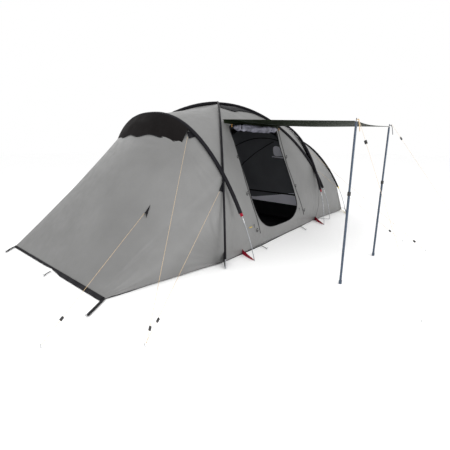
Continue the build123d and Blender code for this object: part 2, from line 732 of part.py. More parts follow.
# ---------------------------------------------------------------- guylines, runners and pegs
PATCH_TIP = 14                 # a line starts this far off the cloth or pole that it is tied to
hood_corner = Vector(-1408, -838, 1576)
low_gusset = Vector(-1398, -1372, 905)
wing_dart = Vector(-2212, -856, 690)
right_gusset = Vector(1312, -1300, 930)
arch_tie = right_arch(angle_at(right_arch, 1262, 0.1, math.pi / 2)) + Vector(8, -20, 8)
peg_shared = Vector(-3139, -2072)
peg_wing = Vector(-3654, -1487)
peg_canopy_left = Vector(-1424, -3584)
peg_canopy_right = Vector(1150, -3780)
peg_right = Vector(912, -2906)
peg_arch = Vector(654, -3253)

GUYLINES = [
    ("hood_front", hood_corner, peg_shared + Vector(10, -5), 0.955),
    ("left_gusset", low_gusset, peg_shared + Vector(10, 5), 0.90),
    ("wing", wing_dart, peg_wing, 0.86),
    ("canopy_left", outer_left + Vector(-10, -20, 26), peg_canopy_left, 0.13),
    ("canopy_right", outer_right + Vector(14, -20, 26), peg_canopy_right, 0.10),
    ("right_gusset", right_gusset, peg_right, 0.88),
    ("arch_right", arch_tie, peg_arch, 0.93),
]

for name, top, spot, runner_share in GUYLINES:
    outwards = Vector(spot.X - top.X, spot.Y - top.Y).normalized()
    low = Vector(spot.X, spot.Y, LINE_HEIGHT) - outwards * (PEG_RADIUS + 2.5)
    run = low - top
    heading = run.normalized()
    with BuildPart() as line:
        rod(top, low, LINE_RADIUS)
    finish(line, f"guyline_{name}")
    middle = top + run * runner_share
    with BuildPart() as runner:
        with BuildSketch(Plane(origin=middle, z_dir=heading)):
            SlotOverall(26, 13)
            Circle(RUNNER_BORE, mode=Mode.SUBTRACT)
        extrude(amount=17, both=True)
    finish(runner, f"runner_{name}")
    print(f"guyline_{name}", "length", round(run.length), "axis", tuple(round(v, 5) for v in heading),
          "from", tuple(round(v, 1) for v in top), "to", tuple(round(v, 1) for v in low),
          "runner", tuple(round(v, 1) for v in middle))

with BuildPart() as pegs:
    for spot in (peg_front, peg_middle, peg_rear):
        peg(spot, Vector(-1, 0.15 * math.copysign(1, spot.Y), 0))
    for spot in loop_pegs:
        peg(spot, Vector(0, -1, 0))
        peg(mirrored(spot, True), Vector(0, 1, 0))
    for spot, top in (
        (peg_shared, hood_corner), (peg_wing, wing_dart), (peg_canopy_left, outer_left),
        (peg_canopy_right, outer_right), (peg_right, right_gusset), (peg_arch, arch_tie),
    ):
        peg(spot, Vector(spot.X - top.X, spot.Y - top.Y))
finish(pegs, "ground_pegs")

# Black reinforcement patches that the guylines are tied to.
with BuildPart() as patches:
    strap(hood_corner + Vector(8, 14, 30), hood_corner + Vector(2, 3, 6), 20)
    strap(low_gusset + Vector(30, 20, 30), low_gusset + Vector(3, 2, 3), 26)
    strap(wing_dart + Vector(88, 8, 118), wing_dart + Vector(-4, -4, 14), 20)
    strap(right_gusset + Vector(-6, 16, 30), right_gusset + Vector(-1, 3, 5), 26)
finish(patches, "guy_patches")

print("canopy lever left", round(abs(outer_left.Y - inner_left.Y)), "right", round(abs(outer_right.Y - inner_right.Y)))
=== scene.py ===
import math

import bpy
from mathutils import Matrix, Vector, noise


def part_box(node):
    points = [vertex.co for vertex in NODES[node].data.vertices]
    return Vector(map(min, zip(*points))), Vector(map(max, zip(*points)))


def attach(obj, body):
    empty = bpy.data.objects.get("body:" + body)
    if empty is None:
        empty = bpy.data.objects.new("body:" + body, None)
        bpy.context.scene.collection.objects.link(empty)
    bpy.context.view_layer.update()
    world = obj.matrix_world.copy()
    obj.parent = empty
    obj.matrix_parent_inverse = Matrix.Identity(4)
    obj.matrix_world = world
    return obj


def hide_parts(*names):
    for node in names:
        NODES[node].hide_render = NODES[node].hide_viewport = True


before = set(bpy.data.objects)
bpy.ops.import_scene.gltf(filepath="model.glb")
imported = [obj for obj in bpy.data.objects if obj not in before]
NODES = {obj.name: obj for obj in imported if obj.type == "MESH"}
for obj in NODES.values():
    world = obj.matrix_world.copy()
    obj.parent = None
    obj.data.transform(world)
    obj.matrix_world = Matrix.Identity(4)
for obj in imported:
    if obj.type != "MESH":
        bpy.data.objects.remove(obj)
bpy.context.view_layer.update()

# ---------------------------------------------------------------- dimensions, in metres
TOP_HEIGHT = 2.100
LONG_BEND = (1.924, 1.547)
ARCH_BEND = (2.377, 1.358)
END_BEND = (2.242, 1.328)
LONG_FOOT_LEFT = (-1.605, -1.560)
LONG_FOOT_RIGHT = (1.568, -1.485)
ARCH_FOOT_LEFT = (-1.162, -1.665)
ARCH_FOOT_RIGHT = (1.100, -1.582)
END_FOOT = (2.200, -1.562)
ARCH_TOP_LEFT = (-1.398, 1.860)
ARCH_TOP_RIGHT = (1.421, 1.860)
END_TOP = (2.043, 1.565)
POLE_STACK = 0.008
HEM = 0.012
INSET = 0.985
CROSSING = 1.060
TUCK_LEFT = 0.085
TUCK_RIGHT = 0.125
PANEL_SAG = 0.110
WING_SAG = 0.022
REAR_FAN = 0.60                # past this share of the way back, the wing is pulled to its rear corner
WING_CORNER_FRONT = (-2.950, -1.150)
WING_CORNER_REAR = (-2.950, 1.285)
END_SEAM_FOOT = (2.400, -1.330)
END_SEAM_HEIGHT = 0.520
END_CORNER = (2.515, -1.312)
CLOTH = 0.0016

CAMERA_PLACE = (-4.358, -3.912, 1.524)
CAMERA_PITCH = 15.058
CAMERA_YAW = 49.37
CAMERA_LENS = 25.956


# ---------------------------------------------------------------- camera
def make_camera():
    data = bpy.data.cameras.new("camera")
    data.lens = CAMERA_LENS
    data.sensor_width = 36
    camera = bpy.data.objects.new("camera", data)
    camera.location = CAMERA_PLACE
    camera.rotation_euler = (math.radians(90 - CAMERA_PITCH), 0, math.radians(-CAMERA_YAW))
    bpy.context.collection.objects.link(camera)
    bpy.context.scene.camera = camera


make_camera()


# ---------------------------------------------------------------- materials
class Shader:
    """A principled material whose colour, roughness and bump come from procedural textures."""

    def __init__(self, name, roughness=0.6, metallic=0.0, coat=0.0, specular=0.5):
        self.material = bpy.data.materials.new(name)
        self.material.use_nodes = True
        self.nodes = self.material.node_tree.nodes
        self.links = self.material.node_tree.links
        self.shader = self.nodes["Principled BSDF"]
        self.shader.inputs["Roughness"].default_value = roughness
        self.shader.inputs["Metallic"].default_value = metallic
        self.shader.inputs["Coat Weight"].default_value = coat
        self.shader.inputs["Specular IOR Level"].default_value = specular
        self.place = self.nodes.new("ShaderNodeTexCoord").outputs["Object"]

    def noise(self, scale, detail=4.0, stretch=None):
        texture = self.nodes.new("ShaderNodeTexNoise")
        texture.inputs["Scale"].default_value = scale
        texture.inputs["Detail"].default_value = detail
        self.links.new(self.stretched(stretch), texture.inputs["Vector"])
        return texture.outputs["Fac"]

    def wave(self, scale, direction="X", distortion=0.0, stretch=None):
        texture = self.nodes.new("ShaderNodeTexWave")
        texture.bands_direction = direction
        texture.inputs["Scale"].default_value = scale
        texture.inputs["Distortion"].default_value = distortion
        self.links.new(self.stretched(stretch), texture.inputs["Vector"])
        return texture.outputs["Fac"]

    def stretched(self, stretch):
        if stretch is None:
            return self.place
        mapping = self.nodes.new("ShaderNodeMapping")
        mapping.inputs["Scale"].default_value = stretch
        self.links.new(self.place, mapping.inputs["Vector"])
        return mapping.outputs["Vector"]

    def ramp(self, value, stops):
        ramp = self.nodes.new("ShaderNodeValToRGB")
        elements = ramp.color_ramp.elements
        elements[0].position, elements[0].color = stops[0][0], (*stops[0][1], 1)
        elements[1].position, elements[1].color = stops[-1][0], (*stops[-1][1], 1)
        for position, colour in stops[1:-1]:
            elements.new(position).color = (*colour, 1)
        self.links.new(value, ramp.inputs["Fac"])
        return ramp.outputs["Color"]

    def colour(self, value, stops):
        self.links.new(self.ramp(value, stops), self.shader.inputs["Base Color"])
        return self

    def rough(self, value, low, high):
        grey = self.ramp(value, ((0.25, (low,) * 3), (0.75, (high,) * 3)))
        self.links.new(grey, self.shader.inputs["Roughness"])
        return self

    def bumps(self, *layers):
        normal = None
        for value, strength, distance in layers:
            bump = self.nodes.new("ShaderNodeBump")
            bump.inputs["Strength"].default_value = strength
            bump.inputs["Distance"].default_value = distance
            self.links.new(value, bump.inputs["Height"])
            if normal is not None:
                self.links.new(normal, bump.inputs["Normal"])
            normal = bump.outputs["Normal"]
        self.links.new(normal, self.shader.inputs["Normal"])
        return self


def cloth_material(name, dark, light, roughness=0.55, specular=0.3, crease=0.5, weave=900, tone=2.2):
    """Coated polyester: a fine plain weave, faint creases and a slight change of tone."""
    cloth = Shader(name, roughness=roughness, specular=specular)
    cloth.colour(cloth.noise(tone, 6), ((0.3, dark), (0.7, light)))
    cloth.rough(cloth.noise(9, 5), roughness - 0.08, roughness + 0.1)
    cloth.bumps(
        (cloth.wave(weave, "X"), 0.10, 0.0003),
        (cloth.wave(weave, "Z"), 0.10, 0.0003),
        (cloth.noise(7, 3, (1, 1, 0.35)), crease, 0.006),
        (cloth.noise(42, 4), crease * 0.5, 0.0012),
    )
    return cloth.material


def plain_material(name, dark, light, roughness, metallic=0.0, grain=160, coat=0.0):
    """Moulded plastic or metal with a fine grain."""
    surface = Shader(name, roughness=roughness, metallic=metallic, coat=coat)
    surface.colour(surface.noise(30, 5), ((0.35, dark), (0.65, light)))
    surface.rough(surface.noise(grain, 4), max(0.05, roughness - 0.1), roughness + 0.12)
    surface.bumps((surface.noise(grain * 4, 3), 0.15, 0.0004))
    return surface.material


def webbing_material(name, dark, light):
    """Woven tape with ribs across it."""
    tape = Shader(name, roughness=0.7, specular=0.15)
    tape.colour(tape.noise(60, 4), ((0.3, dark), (0.7, light)))
    tape.bumps((tape.wave(260, "DIAGONAL", 0.4), 0.5, 0.0006), (tape.noise(400, 3), 0.3, 0.0004))
    return tape.material


GREY = cloth_material("grey_cloth", (0.165, 0.165, 0.163), (0.196, 0.196, 0.194), roughness=0.42)
BLACK = cloth_material("black_cloth", (0.0050, 0.0048, 0.0062), (0.0100, 0.0096, 0.0125), specular=0.10,
                       crease=0.8)
MESH_BLACK = cloth_material("black_mesh", (0.0050, 0.0042, 0.0042), (0.0105, 0.0088, 0.0088), roughness=0.8,
                            specular=0.08, weave=420)
INNER = cloth_material("inner_cloth", (0.100, 0.104, 0.114), (0.130, 0.135, 0.148), roughness=0.75,
                       specular=0.1)
INNER_PALE = cloth_material("inner_pale_cloth", (0.74, 0.74, 0.82), (0.84, 0.84, 0.92), roughness=0.7,
                            specular=0.1)
INNER_DARK = cloth_material("inner_dark_cloth", (0.006, 0.006, 0.007), (0.011, 0.011, 0.012), roughness=0.8,
                            specular=0.08)
FLOOR_CLOTH = cloth_material("floor_cloth", (0.005, 0.005, 0.006), (0.009, 0.009, 0.010), specular=0.08)
CANOPY = cloth_material("canopy_cloth", (0.0065, 0.0095, 0.0045), (0.0130, 0.0200, 0.0085), specular=0.08)
LILAC = cloth_material("lilac_cloth", (0.07, 0.07, 0.085), (0.34, 0.34, 0.42), roughness=0.4, crease=1.0,
                       tone=12)
ALLOY = plain_material("pole_alloy", (0.30, 0.31, 0.33), (0.42, 0.43, 0.45), 0.35, 1.0)
STEEL = plain_material("steel", (0.48, 0.49, 0.50), (0.60, 0.61, 0.62), 0.3, 1.0)
BLUE_STEEL = plain_material("blue_steel", (0.030, 0.048, 0.078), (0.050, 0.072, 0.108), 0.4, 0.3, coat=0.3)
BLACK_PLASTIC = plain_material("black_plastic", (0.010, 0.010, 0.011), (0.020, 0.020, 0.021), 0.5)
ORANGE_PLASTIC = plain_material("orange_plastic", (0.50, 0.23, 0.05), (0.62, 0.31, 0.08), 0.4)
CREAM_CORD = webbing_material("cream_cord", (0.52, 0.37, 0.21), (0.68, 0.52, 0.33))
PALE_CORD = webbing_material("pale_cord", (0.60, 0.50, 0.38), (0.72, 0.62, 0.50))
RED_WEBBING = webbing_material("red_webbing", (0.20, 0.004, 0.016), (0.30, 0.008, 0.026))
GREY_WEBBING = webbing_material("grey_webbing", (0.09, 0.09, 0.095), (0.15, 0.15, 0.16))
BLACK_WEBBING = webbing_material("black_webbing", (0.008, 0.008, 0.009), (0.016, 0.016, 0.018))
YELLOW_WEBBING = webbing_material("yellow_webbing", (0.50, 0.36, 0.04), (0.66, 0.50, 0.08))


# ---------------------------------------------------------------- curves and surfaces of the tent
def half_wave(angle, bend):
    along = math.copysign(abs(math.cos(angle)) ** (2 / bend[0]), math.cos(angle))
    return along, abs(math.sin(angle)) ** (2 / bend[1])


def long_pole(near_foot, far_foot, top, angle):
    along, up = half_wave(angle, LONG_BEND)
    foot = near_foot if along >= 0 else far_foot
    return Vector((foot[0] * abs(along), foot[1] * abs(along), top * up))


def rising_right(angle):
    return long_pole(LONG_FOOT_LEFT, (LONG_FOOT_RIGHT[0], -LONG_FOOT_RIGHT[1]), TOP_HEIGHT + POLE_STACK,
                     angle)


def rising_left(angle):
    return long_pole(LONG_FOOT_RIGHT, (LONG_FOOT_LEFT[0], -LONG_FOOT_LEFT[1]), TOP_HEIGHT - POLE_STACK, angle)


def arch(foot, top, bend, angle):
    along, up = half_wave(angle, bend)
    return Vector((foot[0] + (top[0] - foot[0]) * up, foot[1] * along, top[1] * up))


def left_arch(angle):
    return arch(ARCH_FOOT_LEFT, ARCH_TOP_LEFT, ARCH_BEND, angle)


def right_arch(angle):
    return arch(ARCH_FOOT_RIGHT, ARCH_TOP_RIGHT, ARCH_BEND, angle)


def end_arch(angle):
    return arch(END_FOOT, END_TOP, END_BEND, angle)


def mirrored(point, flip=True):
    return Vector((point.x, -point.y, point.z)) if flip else point


def seam_at(foot, height, tuck):
    """The fly's seam under a long pole; below the crossing it is drawn in."""
    up = min(1, height / TOP_HEIGHT)
    reach = (1 - up ** LONG_BEND[1]) ** (1 / LONG_BEND[0])
    drawn = INSET * (1 - tuck * max(0, 1 - height / CROSSING) ** 1.5)
    low = min(1, height / CROSSING)
    level = HEM + height * (1 - low * (1 - INSET)) * (1 - HEM / TOP_HEIGHT)
    return Vector((foot[0] * reach * drawn, foot[1] * reach * drawn, level))


def door_wall(across, height):
    left = seam_at(LONG_FOOT_LEFT, height, TUCK_LEFT)
    right = seam_at(LONG_FOOT_RIGHT, height, TUCK_RIGHT)
    sag = PANEL_SAG * 4 * across * (1 - across) * max(0, math.sin(math.pi * height / TOP_HEIGHT)) ** 0.8
    return left + (right - left) * across + Vector((0, sag, 0))


def on_door_wall(x, height, off=0.0):
    left, right = door_wall(0, height), door_wall(1, height)
    return door_wall((x - left.x) / (right.x - left.x), height) + Vector((0, -off, 0))


def side_seam(pole, foot, tuck, angle):
    point = pole(angle)
    if point.z >= CROSSING:
        return Vector((point.x * INSET, point.y * INSET, HEM + point.z * INSET * (1 - HEM / TOP_HEIGHT)))
    return mirrored(seam_at(foot, point.z, tuck), angle > math.pi / 2)


def left_seam(angle):
    return side_seam(left_arch, LONG_FOOT_LEFT, TUCK_LEFT, angle)


def right_seam(angle):
    return side_seam(right_arch, LONG_FOOT_RIGHT, TUCK_RIGHT, angle)


def end_seam(angle):
    point = end_arch(angle)
    if point.z >= END_SEAM_HEIGHT:
        return Vector((point.x * INSET, point.y * INSET, HEM + point.z * INSET))
    up = END_SEAM_HEIGHT / END_TOP[1]
    reach = (1 - up ** END_BEND[1]) ** (1 / END_BEND[0])
    start = Vector((END_FOOT[0] + (END_TOP[0] - END_FOOT[0]) * up, END_FOOT[1] * reach,
                    END_SEAM_HEIGHT)) * INSET
    start = mirrored(start + Vector((0, 0, HEM)), angle > math.pi / 2)
    foot = mirrored(Vector((*END_SEAM_FOOT, HEM)), angle > math.pi / 2)
    return start + (foot - start) * (1 - point.z / END_SEAM_HEIGHT)


def hem_share(share):
    """Where on the left hem a seam point's straight line ends; the rear part fans out from its corner."""
    if share <= 0:
        return share
    reach = min(1, share / REAR_FAN)
    return min(1, share + (1 - REAR_FAN) * reach * reach * (3 - 2 * reach))


def wing(angle, along):
    start = left_seam(angle)
    share = hem_share(start.y / abs(left_seam(0).y))
    middle = (WING_CORNER_REAR[1] + WING_CORNER_FRONT[1]) / 2
    half = (WING_CORNER_REAR[1] - WING_CORNER_FRONT[1]) / 2
    hem = Vector((WING_CORNER_FRONT[0], middle + half * share, HEM))
    sag = WING_SAG * math.sin(math.pi * along) * start.z / ARCH_TOP_LEFT[1]
    return start + (hem - start) * along - Vector((0, 0, sag))


def end_section(angle, along):
    start, finish = right_seam(angle), end_seam(angle)
    sag = 0.02 * math.sin(math.pi * along) * min(1, start.z)
    point = start + (finish - start) * along
    return point - Vector((0, sag * math.copysign(1, point.y) * -0.3, sag))


def end_wall(angle, along):
    start = end_seam(angle)
    hem = Vector((END_CORNER[0], END_CORNER[1] * -start.y / abs(END_SEAM_FOOT[1]), HEM))
    return start + (hem - start) * along


def arch_shape(share, top):
    low = (CROSSING / top[1]) ** ARCH_BEND[1]
    reach = (1 - low) ** (1 / ARCH_BEND[0])
    height = top[1] * (1 - (reach * abs(share)) ** ARCH_BEND[0]) ** (1 / ARCH_BEND[1])
    return (height - CROSSING) / (top[1] - CROSSING)


def shoulder(foot, arch_top, out, share):
    crossing_reach = (1 - (CROSSING / TOP_HEIGHT) ** LONG_BEND[1]) ** (1 / LONG_BEND[0])
    height = TOP_HEIGHT * (1 - (crossing_reach * out) ** LONG_BEND[0]) ** (1 / LONG_BEND[1])
    edge = seam_at(foot, height, 0)
    ridge_x = arch_top[0] * INSET * out
    ridge_z = HEM + (TOP_HEIGHT + (arch_top[1] - TOP_HEIGHT) * out) * INSET - 0.025 * math.sin(math.pi * out)
    lift = arch_shape(share, arch_top)
    return Vector((edge.x + (ridge_x - edge.x) * lift, -edge.y * share, edge.z + (ridge_z - edge.z) * lift))


def steps(first, last, count):
    return [first + (last - first) * i / (count - 1) for i in range(count)]


def angle_at(pole, height):
    return min(steps(0.01, math.pi / 2, 2000), key=lambda angle: abs(pole(angle).z - height))


# ---------------------------------------------------------------- mesh helpers
def add_mesh(name, points, faces, material, body="root", smooth=True):
    mesh = bpy.data.meshes.new(name)
    mesh.from_pydata([tuple(point) for point in points], [], faces)
    mesh.validate()
    mesh.materials.append(material)
    if smooth:
        mesh.shade_smooth()
    piece = bpy.data.objects.new(name, mesh)
    bpy.context.collection.objects.link(piece)
    if body:
        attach(piece, body)
    return piece


def grid_faces(rows, columns, closed=False):
    faces = []
    for i in range(rows - 1):
        for j in range(columns if closed else columns - 1):
            k = (j + 1) % columns
            faces.append((i * columns + j, i * columns + k, (i + 1) * columns + k, (i + 1) * columns + j))
    return faces


def thickened(piece, thickness=CLOTH):
    solid = piece.modifiers.new("cloth", "SOLIDIFY")
    solid.thickness = thickness
    solid.offset = 0
    return piece


def sheet_grid(name, surface, us, vs, material, wrinkle=None, body="root", thickness=CLOTH):
    """A cloth panel from a surface function of two parameters; wrinkle(u, v) moves it along its normal."""
    points = []
    for u in us:
        for v in vs:
            point = surface(u, v)
            if wrinkle is not None:
                step = 0.004
                side = surface(min(us[-1], u + step), v) - surface(max(us[0], u - step), v)
                ahead = surface(u, min(vs[-1], v + step)) - surface(u, max(vs[0], v - step))
                normal = side.cross(ahead)
                if normal.length > 1e-9:
                    point = point + normal.normalized() * wrinkle(u, v, point)
            points.append(point)
    piece = add_mesh(name, points, grid_faces(len(us), len(vs)), material, body=body)
    return thickened(piece, thickness)


def tube(name, path, radius, material, body="root", sides=10, flat=1.0, up=None, closed_ends=True,
         taper=None):
    """A round or flattened tube along a list of points."""
    rings = []
    count = len(path)
    for i, point in enumerate(path):
        heading = (path[min(count - 1, i + 1)] - path[max(0, i - 1)]).normalized()
        base = up(i) if up else Vector((0, 0, 1))
        side = heading.cross(base)
        if side.length < 1e-4:
            side = heading.cross(Vector((0, 1, 0)))
        side.normalize()
        lift = side.cross(heading).normalized()
        size = taper(i / (count - 1)) if taper else 1.0
        for k in range(sides):
            turn = 2 * math.pi * k / sides
            rings.append(point + (side * math.cos(turn) + lift * math.sin(turn) * flat) * radius * size)
    faces = grid_faces(count, sides, closed=True)
    if closed_ends:
        faces.append(tuple(reversed(range(sides))))
        faces.append(tuple((count - 1) * sides + k for k in range(sides)))
    return add_mesh(name, rings, faces, material, body=body)


def ribbon(name, path, width, thickness, material, across=None, body="root", end_width=None):
    """Flat webbing along a list of points; across gives the direction of its width, which may taper."""
    points = []
    count = len(path)
    for i, point in enumerate(path):
        heading = (path[min(count - 1, i + 1)] - path[max(0, i - 1)]).normalized()
        side = across if across else Vector((0, 0, 1)).cross(heading)
        side = (side - heading * side.dot(heading)).normalized()
        lift = heading.cross(side).normalized()
        wide = width + ((end_width or width) - width) * i / (count - 1)
        for a, b in ((-1, -1), (1, -1), (1, 1), (-1, 1)):
            points.append(point + side * a * wide / 2 + lift * b * thickness / 2)
    faces = grid_faces(count, 4, closed=True)
    faces += [(3, 2, 1, 0), tuple((count - 1) * 4 + k for k in range(4))]
    piece = add_mesh(name, points, faces, material, body=body, smooth=False)
    bevel = piece.modifiers.new("edge", "BEVEL")
    bevel.width = thickness * 0.3
    bevel.segments = 2
    return piece


# ---------------------------------------------------------------- guylines: straight runs to the pegs
GUYLINES = {
    "hood_front": ((-1.4300, -0.7720, 1.5320), (-2.277, -1.4228, 0.777), (-3.1241, -2.0735, 0.0220)),
    "left_gusset": ((-1.4120, -1.2950, 0.8860), (-2.2677, -1.6799, 0.454), (-3.1234, -2.0648, 0.0220)),
    "wing": ((-2.2120, -0.8560, 0.6900), (-2.930, -1.170, 0.356), (-3.6485, -1.4846, 0.0220)),
    "canopy_left": ((-1.1100, -2.7770, 1.7030), (-1.266, -3.178, 0.8625), (-1.4218, -3.5784, 0.0220)),
    "canopy_right": ((0.0540, -2.7720, 1.6810), (0.600, -3.274, 0.8515), (1.1456, -3.7759, 0.0220)),
    "right_gusset": ((1.3120, -1.3000, 0.9300), (1.113, -2.100, 0.476), (0.9135, -2.9002, 0.0220)),
    "arch_right": ((1.3258, -1.1067, 1.2699), (0.991, -2.177, 0.646), (0.6558, -3.2473, 0.0220)),
}
LINE_DIAMETER = 0.0032


def taut_line(label, points):
    """One guyline as a smooth curve of constant thickness."""
    data = bpy.data.curves.new(f"line_{label}", "CURVE")
    data.dimensions = "3D"
    data.bevel_depth = LINE_DIAMETER / 2
    data.bevel_resolution = 2
    spline = data.splines.new("NURBS")
    spline.points.add(len(points) - 1)
    for control, point in zip(spline.points, points):
        control.co = (*point, 1)
    spline.order_u = 3
    spline.use_endpoint_u = True
    data.materials.append(PALE_CORD if label.startswith("canopy") else CREAM_CORD)
    line = bpy.data.objects.new(f"line_{label}", data)
    bpy.context.collection.objects.link(line)
    return line


for label, points in GUYLINES.items():
    line = taut_line(label, points)
    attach(line, "root")
    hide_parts(f"guyline_{label}")

# ---------------------------------------------------------------- flysheet panels
def panel_wrinkle(amount, scale, seed):
    def move(u, v, point):
        slow = noise.noise(Vector((point.x * 1.1, point.y * 1.1, point.z * 1.1 + seed)) * scale)
        return amount * slow
    return move


def corner_folds(corner, reach, count, depth):
    """Fine tension folds that fan out from a corner and fade with distance."""
    corner = Vector(corner)

    def move(u, v, point):
        away = point - corner
        distance = away.length
        if distance > reach:
            return 0.0
        turn = math.atan2(away.z, math.hypot(away.x, away.y))
        turn += 0.35 * math.atan2(away.y, away.x)
        fade = (1 - distance / reach) ** 1.5 * min(1, distance / 0.12)
        uneven = 0.6 + 0.8 * noise.noise(Vector((turn * 6, distance * 1.5, 3.1)))
        return depth * fade * uneven * math.sin(turn * count + 2.0 * noise.noise(away * 1.7))
    return move


def summed(*moves):
    return lambda u, v, point: sum(move(u, v, point) for move in moves)


def edge_kept(move, width=0.04):
    """Holds a panel's edges where they are sewn."""
    def kept(u, v, point):
        return move(u, v, point) * min(1, u / width, (1 - u) / width)
    return kept


left_corner_folds = summed(
    panel_wrinkle(0.006, 1.6, 1.0),
    corner_folds((-1.50, -0.73, 1.45), 1.10, 40, 0.0085),
    corner_folds((-1.447, -1.40, 0.02), 1.00, 34, 0.0150),
    corner_folds((-2.95, -1.15, 0.02), 0.80, 30, 0.0100),
    corner_folds((-2.95, 1.28, 0.02), 0.60, 34, 0.0035),
    corner_folds((-1.447, 1.40, 0.02), 0.80, 40, 0.0045),
)
wing_angles = [math.pi * (1 - math.cos(math.pi * i / 96)) / 2 * 0.5 + math.pi * i / 96 * 0.5 for i in range(97)]
fly_wing = sheet_grid(
    "wing_cloth", lambda r, angle: wing(angle, r), steps(0.004, 1, 90), wing_angles, GREY,
                      edge_kept(left_corner_folds)
)
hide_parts("fly_left_wing")

shoulder_folds = panel_wrinkle(0.005, 2.0, 4.0)
for side, foot, top, area in (
    ("left", LONG_FOOT_LEFT, ARCH_TOP_LEFT, 1.85), ("right", LONG_FOOT_RIGHT, ARCH_TOP_RIGHT, 1.85),
):
    piece = sheet_grid(
        f"shoulder_{side}_cloth",
        lambda out, share, foot=foot, top=top: shoulder(foot, top, out, share),
        steps(0.02, 0.996, 50), steps(-0.996, 0.996, 60), GREY, edge_kept(shoulder_folds),
    )
    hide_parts(f"fly_{side}_shoulder")

section_folds = summed(panel_wrinkle(0.005, 2.0, 7.0), corner_folds((1.35, -1.28, 0.02), 0.8, 40, 0.003))
section_angles = wing_angles
right_section = sheet_grid(
    "right_section_cloth", lambda r, angle: end_section(angle, r), steps(0.004, 0.996, 50), section_angles,
    GREY, edge_kept(section_folds),
)
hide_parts("fly_right_section")
end_piece = sheet_grid(
    "end_wall_cloth", lambda r, angle: end_wall(angle, r), steps(0.004, 1, 40), section_angles, GREY,
    edge_kept(panel_wrinkle(0.005, 2.0, 9.0)),
)
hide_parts("fly_end_wall")

# ---------------------------------------------------------------- door wall with its doorway
DOORWAY = (
    (0.05, 0.190), (0.36, 0.205), (0.52, 0.285), (0.590, 0.42), (0.545, 0.68), (0.505, 1.00), (0.540, 1.38),
    (0.660, 1.69), (0.35, 1.735), (0.05, 1.745), (-0.25, 1.740), (-0.570, 1.700), (-0.665, 1.45),
           (-0.720, 1.20),
    (-0.715, 0.88), (-0.690, 0.66), (-0.610, 0.44), (-0.500, 0.31), (-0.300, 0.212),
)
WALL_TOP = 2.062


def round_curve(points, per_span, closed=True):
    """A smooth closed line through a few points."""
    line, count = [], len(points)
    for i in range(count if closed else count - 1):
        p0, p1, p2, p3 = (Vector(points[(i + k) % count]) for k in (-1, 0, 1, 2))
        for s in range(per_span):
            t = s / per_span
            line.append(0.5 * ((2 * p1) + (p2 - p0) * t + (2 * p0 - 5 * p1 + 4 * p2 - p3) * t * t
                               + (3 * p1 - p0 - 3 * p2 + p3) * t * t * t))
    return line


doorway = round_curve([(x, z) for x, z in DOORWAY], 8)


def wall_share(x, height):
    left, right = door_wall(0, height), door_wall(1, height)
    return (x - left.x) / (right.x - left.x)


door_middle = Vector((wall_share(-0.07, 0.95), 0.95 / WALL_TOP))


def wall_border(direction):
    """Where a ray from the doorway's middle leaves the wall, in shares of its width and height."""
    reach = []
    for k in range(2):
        if abs(direction[k]) > 1e-9:
            limit = 1.0 if direction[k] > 0 else 0.0
            reach.append((limit - door_middle[k]) / direction[k])
    return door_middle + direction * min(reach)


def wall_point(share_x, share_z):
    return door_wall(min(0.999, max(0.001, share_x)), max(0.0, share_z) * WALL_TOP)


inner_ring = [Vector((wall_share(p.x, p.y), p.y / WALL_TOP)) for p in doorway]
outer_ring = [wall_border((p - door_middle).normalized()) for p in inner_ring]
for corner in ((0, 0), (1, 0), (1, 1), (0, 1)):
    nearest = min(range(len(outer_ring)), key=lambda i: (outer_ring[i] - Vector(corner)).length)
    outer_ring[nearest] = Vector(corner)
RINGS = 36
door_folds = summed(
    panel_wrinkle(0.006, 2.2, 12.0),
    corner_folds((-1.41, -1.39, 0.02), 0.95, 36, 0.0070),
    corner_folds((1.366, -1.27, 0.02), 0.9, 36, 0.0070),
    corner_folds((-0.616, -1.39, 0.02), 0.50, 26, 0.0065),
    corner_folds((0.711, -1.32, 0.02), 0.50, 26, 0.0065),
)


def door_panel():
    points = []
    for ring in range(RINGS + 1):
        t = ring / RINGS
        for inner, outer in zip(inner_ring, outer_ring):
            place = inner + (outer - inner) * t
            point = wall_point(place.x, place.y)
            point.y -= door_folds(0, 0, point) * min(1, t / 0.08, (1 - t) / 0.08) if 0 < t < 1 else 0
            points.append(point)
    faces = grid_faces(RINGS + 1, len(inner_ring), closed=True)
    return points, faces


points, faces = door_panel()
door_cloth = thickened(add_mesh("door_wall_cloth", points, faces, GREY))
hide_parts("fly_door_wall")

rear_cloth = sheet_grid(
    "rear_wall_cloth", lambda across, up: mirrored(door_wall(across, up * WALL_TOP)), steps(0.002, 0.998, 60),
    steps(0, 1, 60), GREY, edge_kept(lambda u, v, point: -door_folds(u, v, mirrored(point))),
)
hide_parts("fly_rear_wall")

door_edge = [on_door_wall(p.x, p.y, 0.002) for p in doorway]
door_edge.append(door_edge[0])
doorway_binding = ribbon("doorway_binding", door_edge, 0.014, 0.004, BLACK_WEBBING, across=Vector((0, 1, 0)))


# ---------------------------------------------------------------- pole sleeves
SLEEVE_SHIFT = 0.007           # a sleeve is sewn to the fly, so it hangs a little inside its pole


def sleeve(name, pole, first, last, width, height, material=BLACK, count=110):
    """A flattened cloth tube round a pole, slightly puckered, with its ends gathered."""
    poles = [pole(angle) for angle in steps(first, last, count)]
    outwards = [(point - Vector((point.x * 0.75, 0, 0.4))).normalized() for point in poles]
    path = [point - out * SLEEVE_SHIFT for point, out in zip(poles, outwards)]

    def outward(i):
        return outwards[i]

    def size(t):
        return 1 + 0.06 * noise.noise(Vector((t * 60, 2.0, 1.0)))

    return tube(name, path, width / 2, material, sides=16, flat=height / width, up=outward, taper=size)


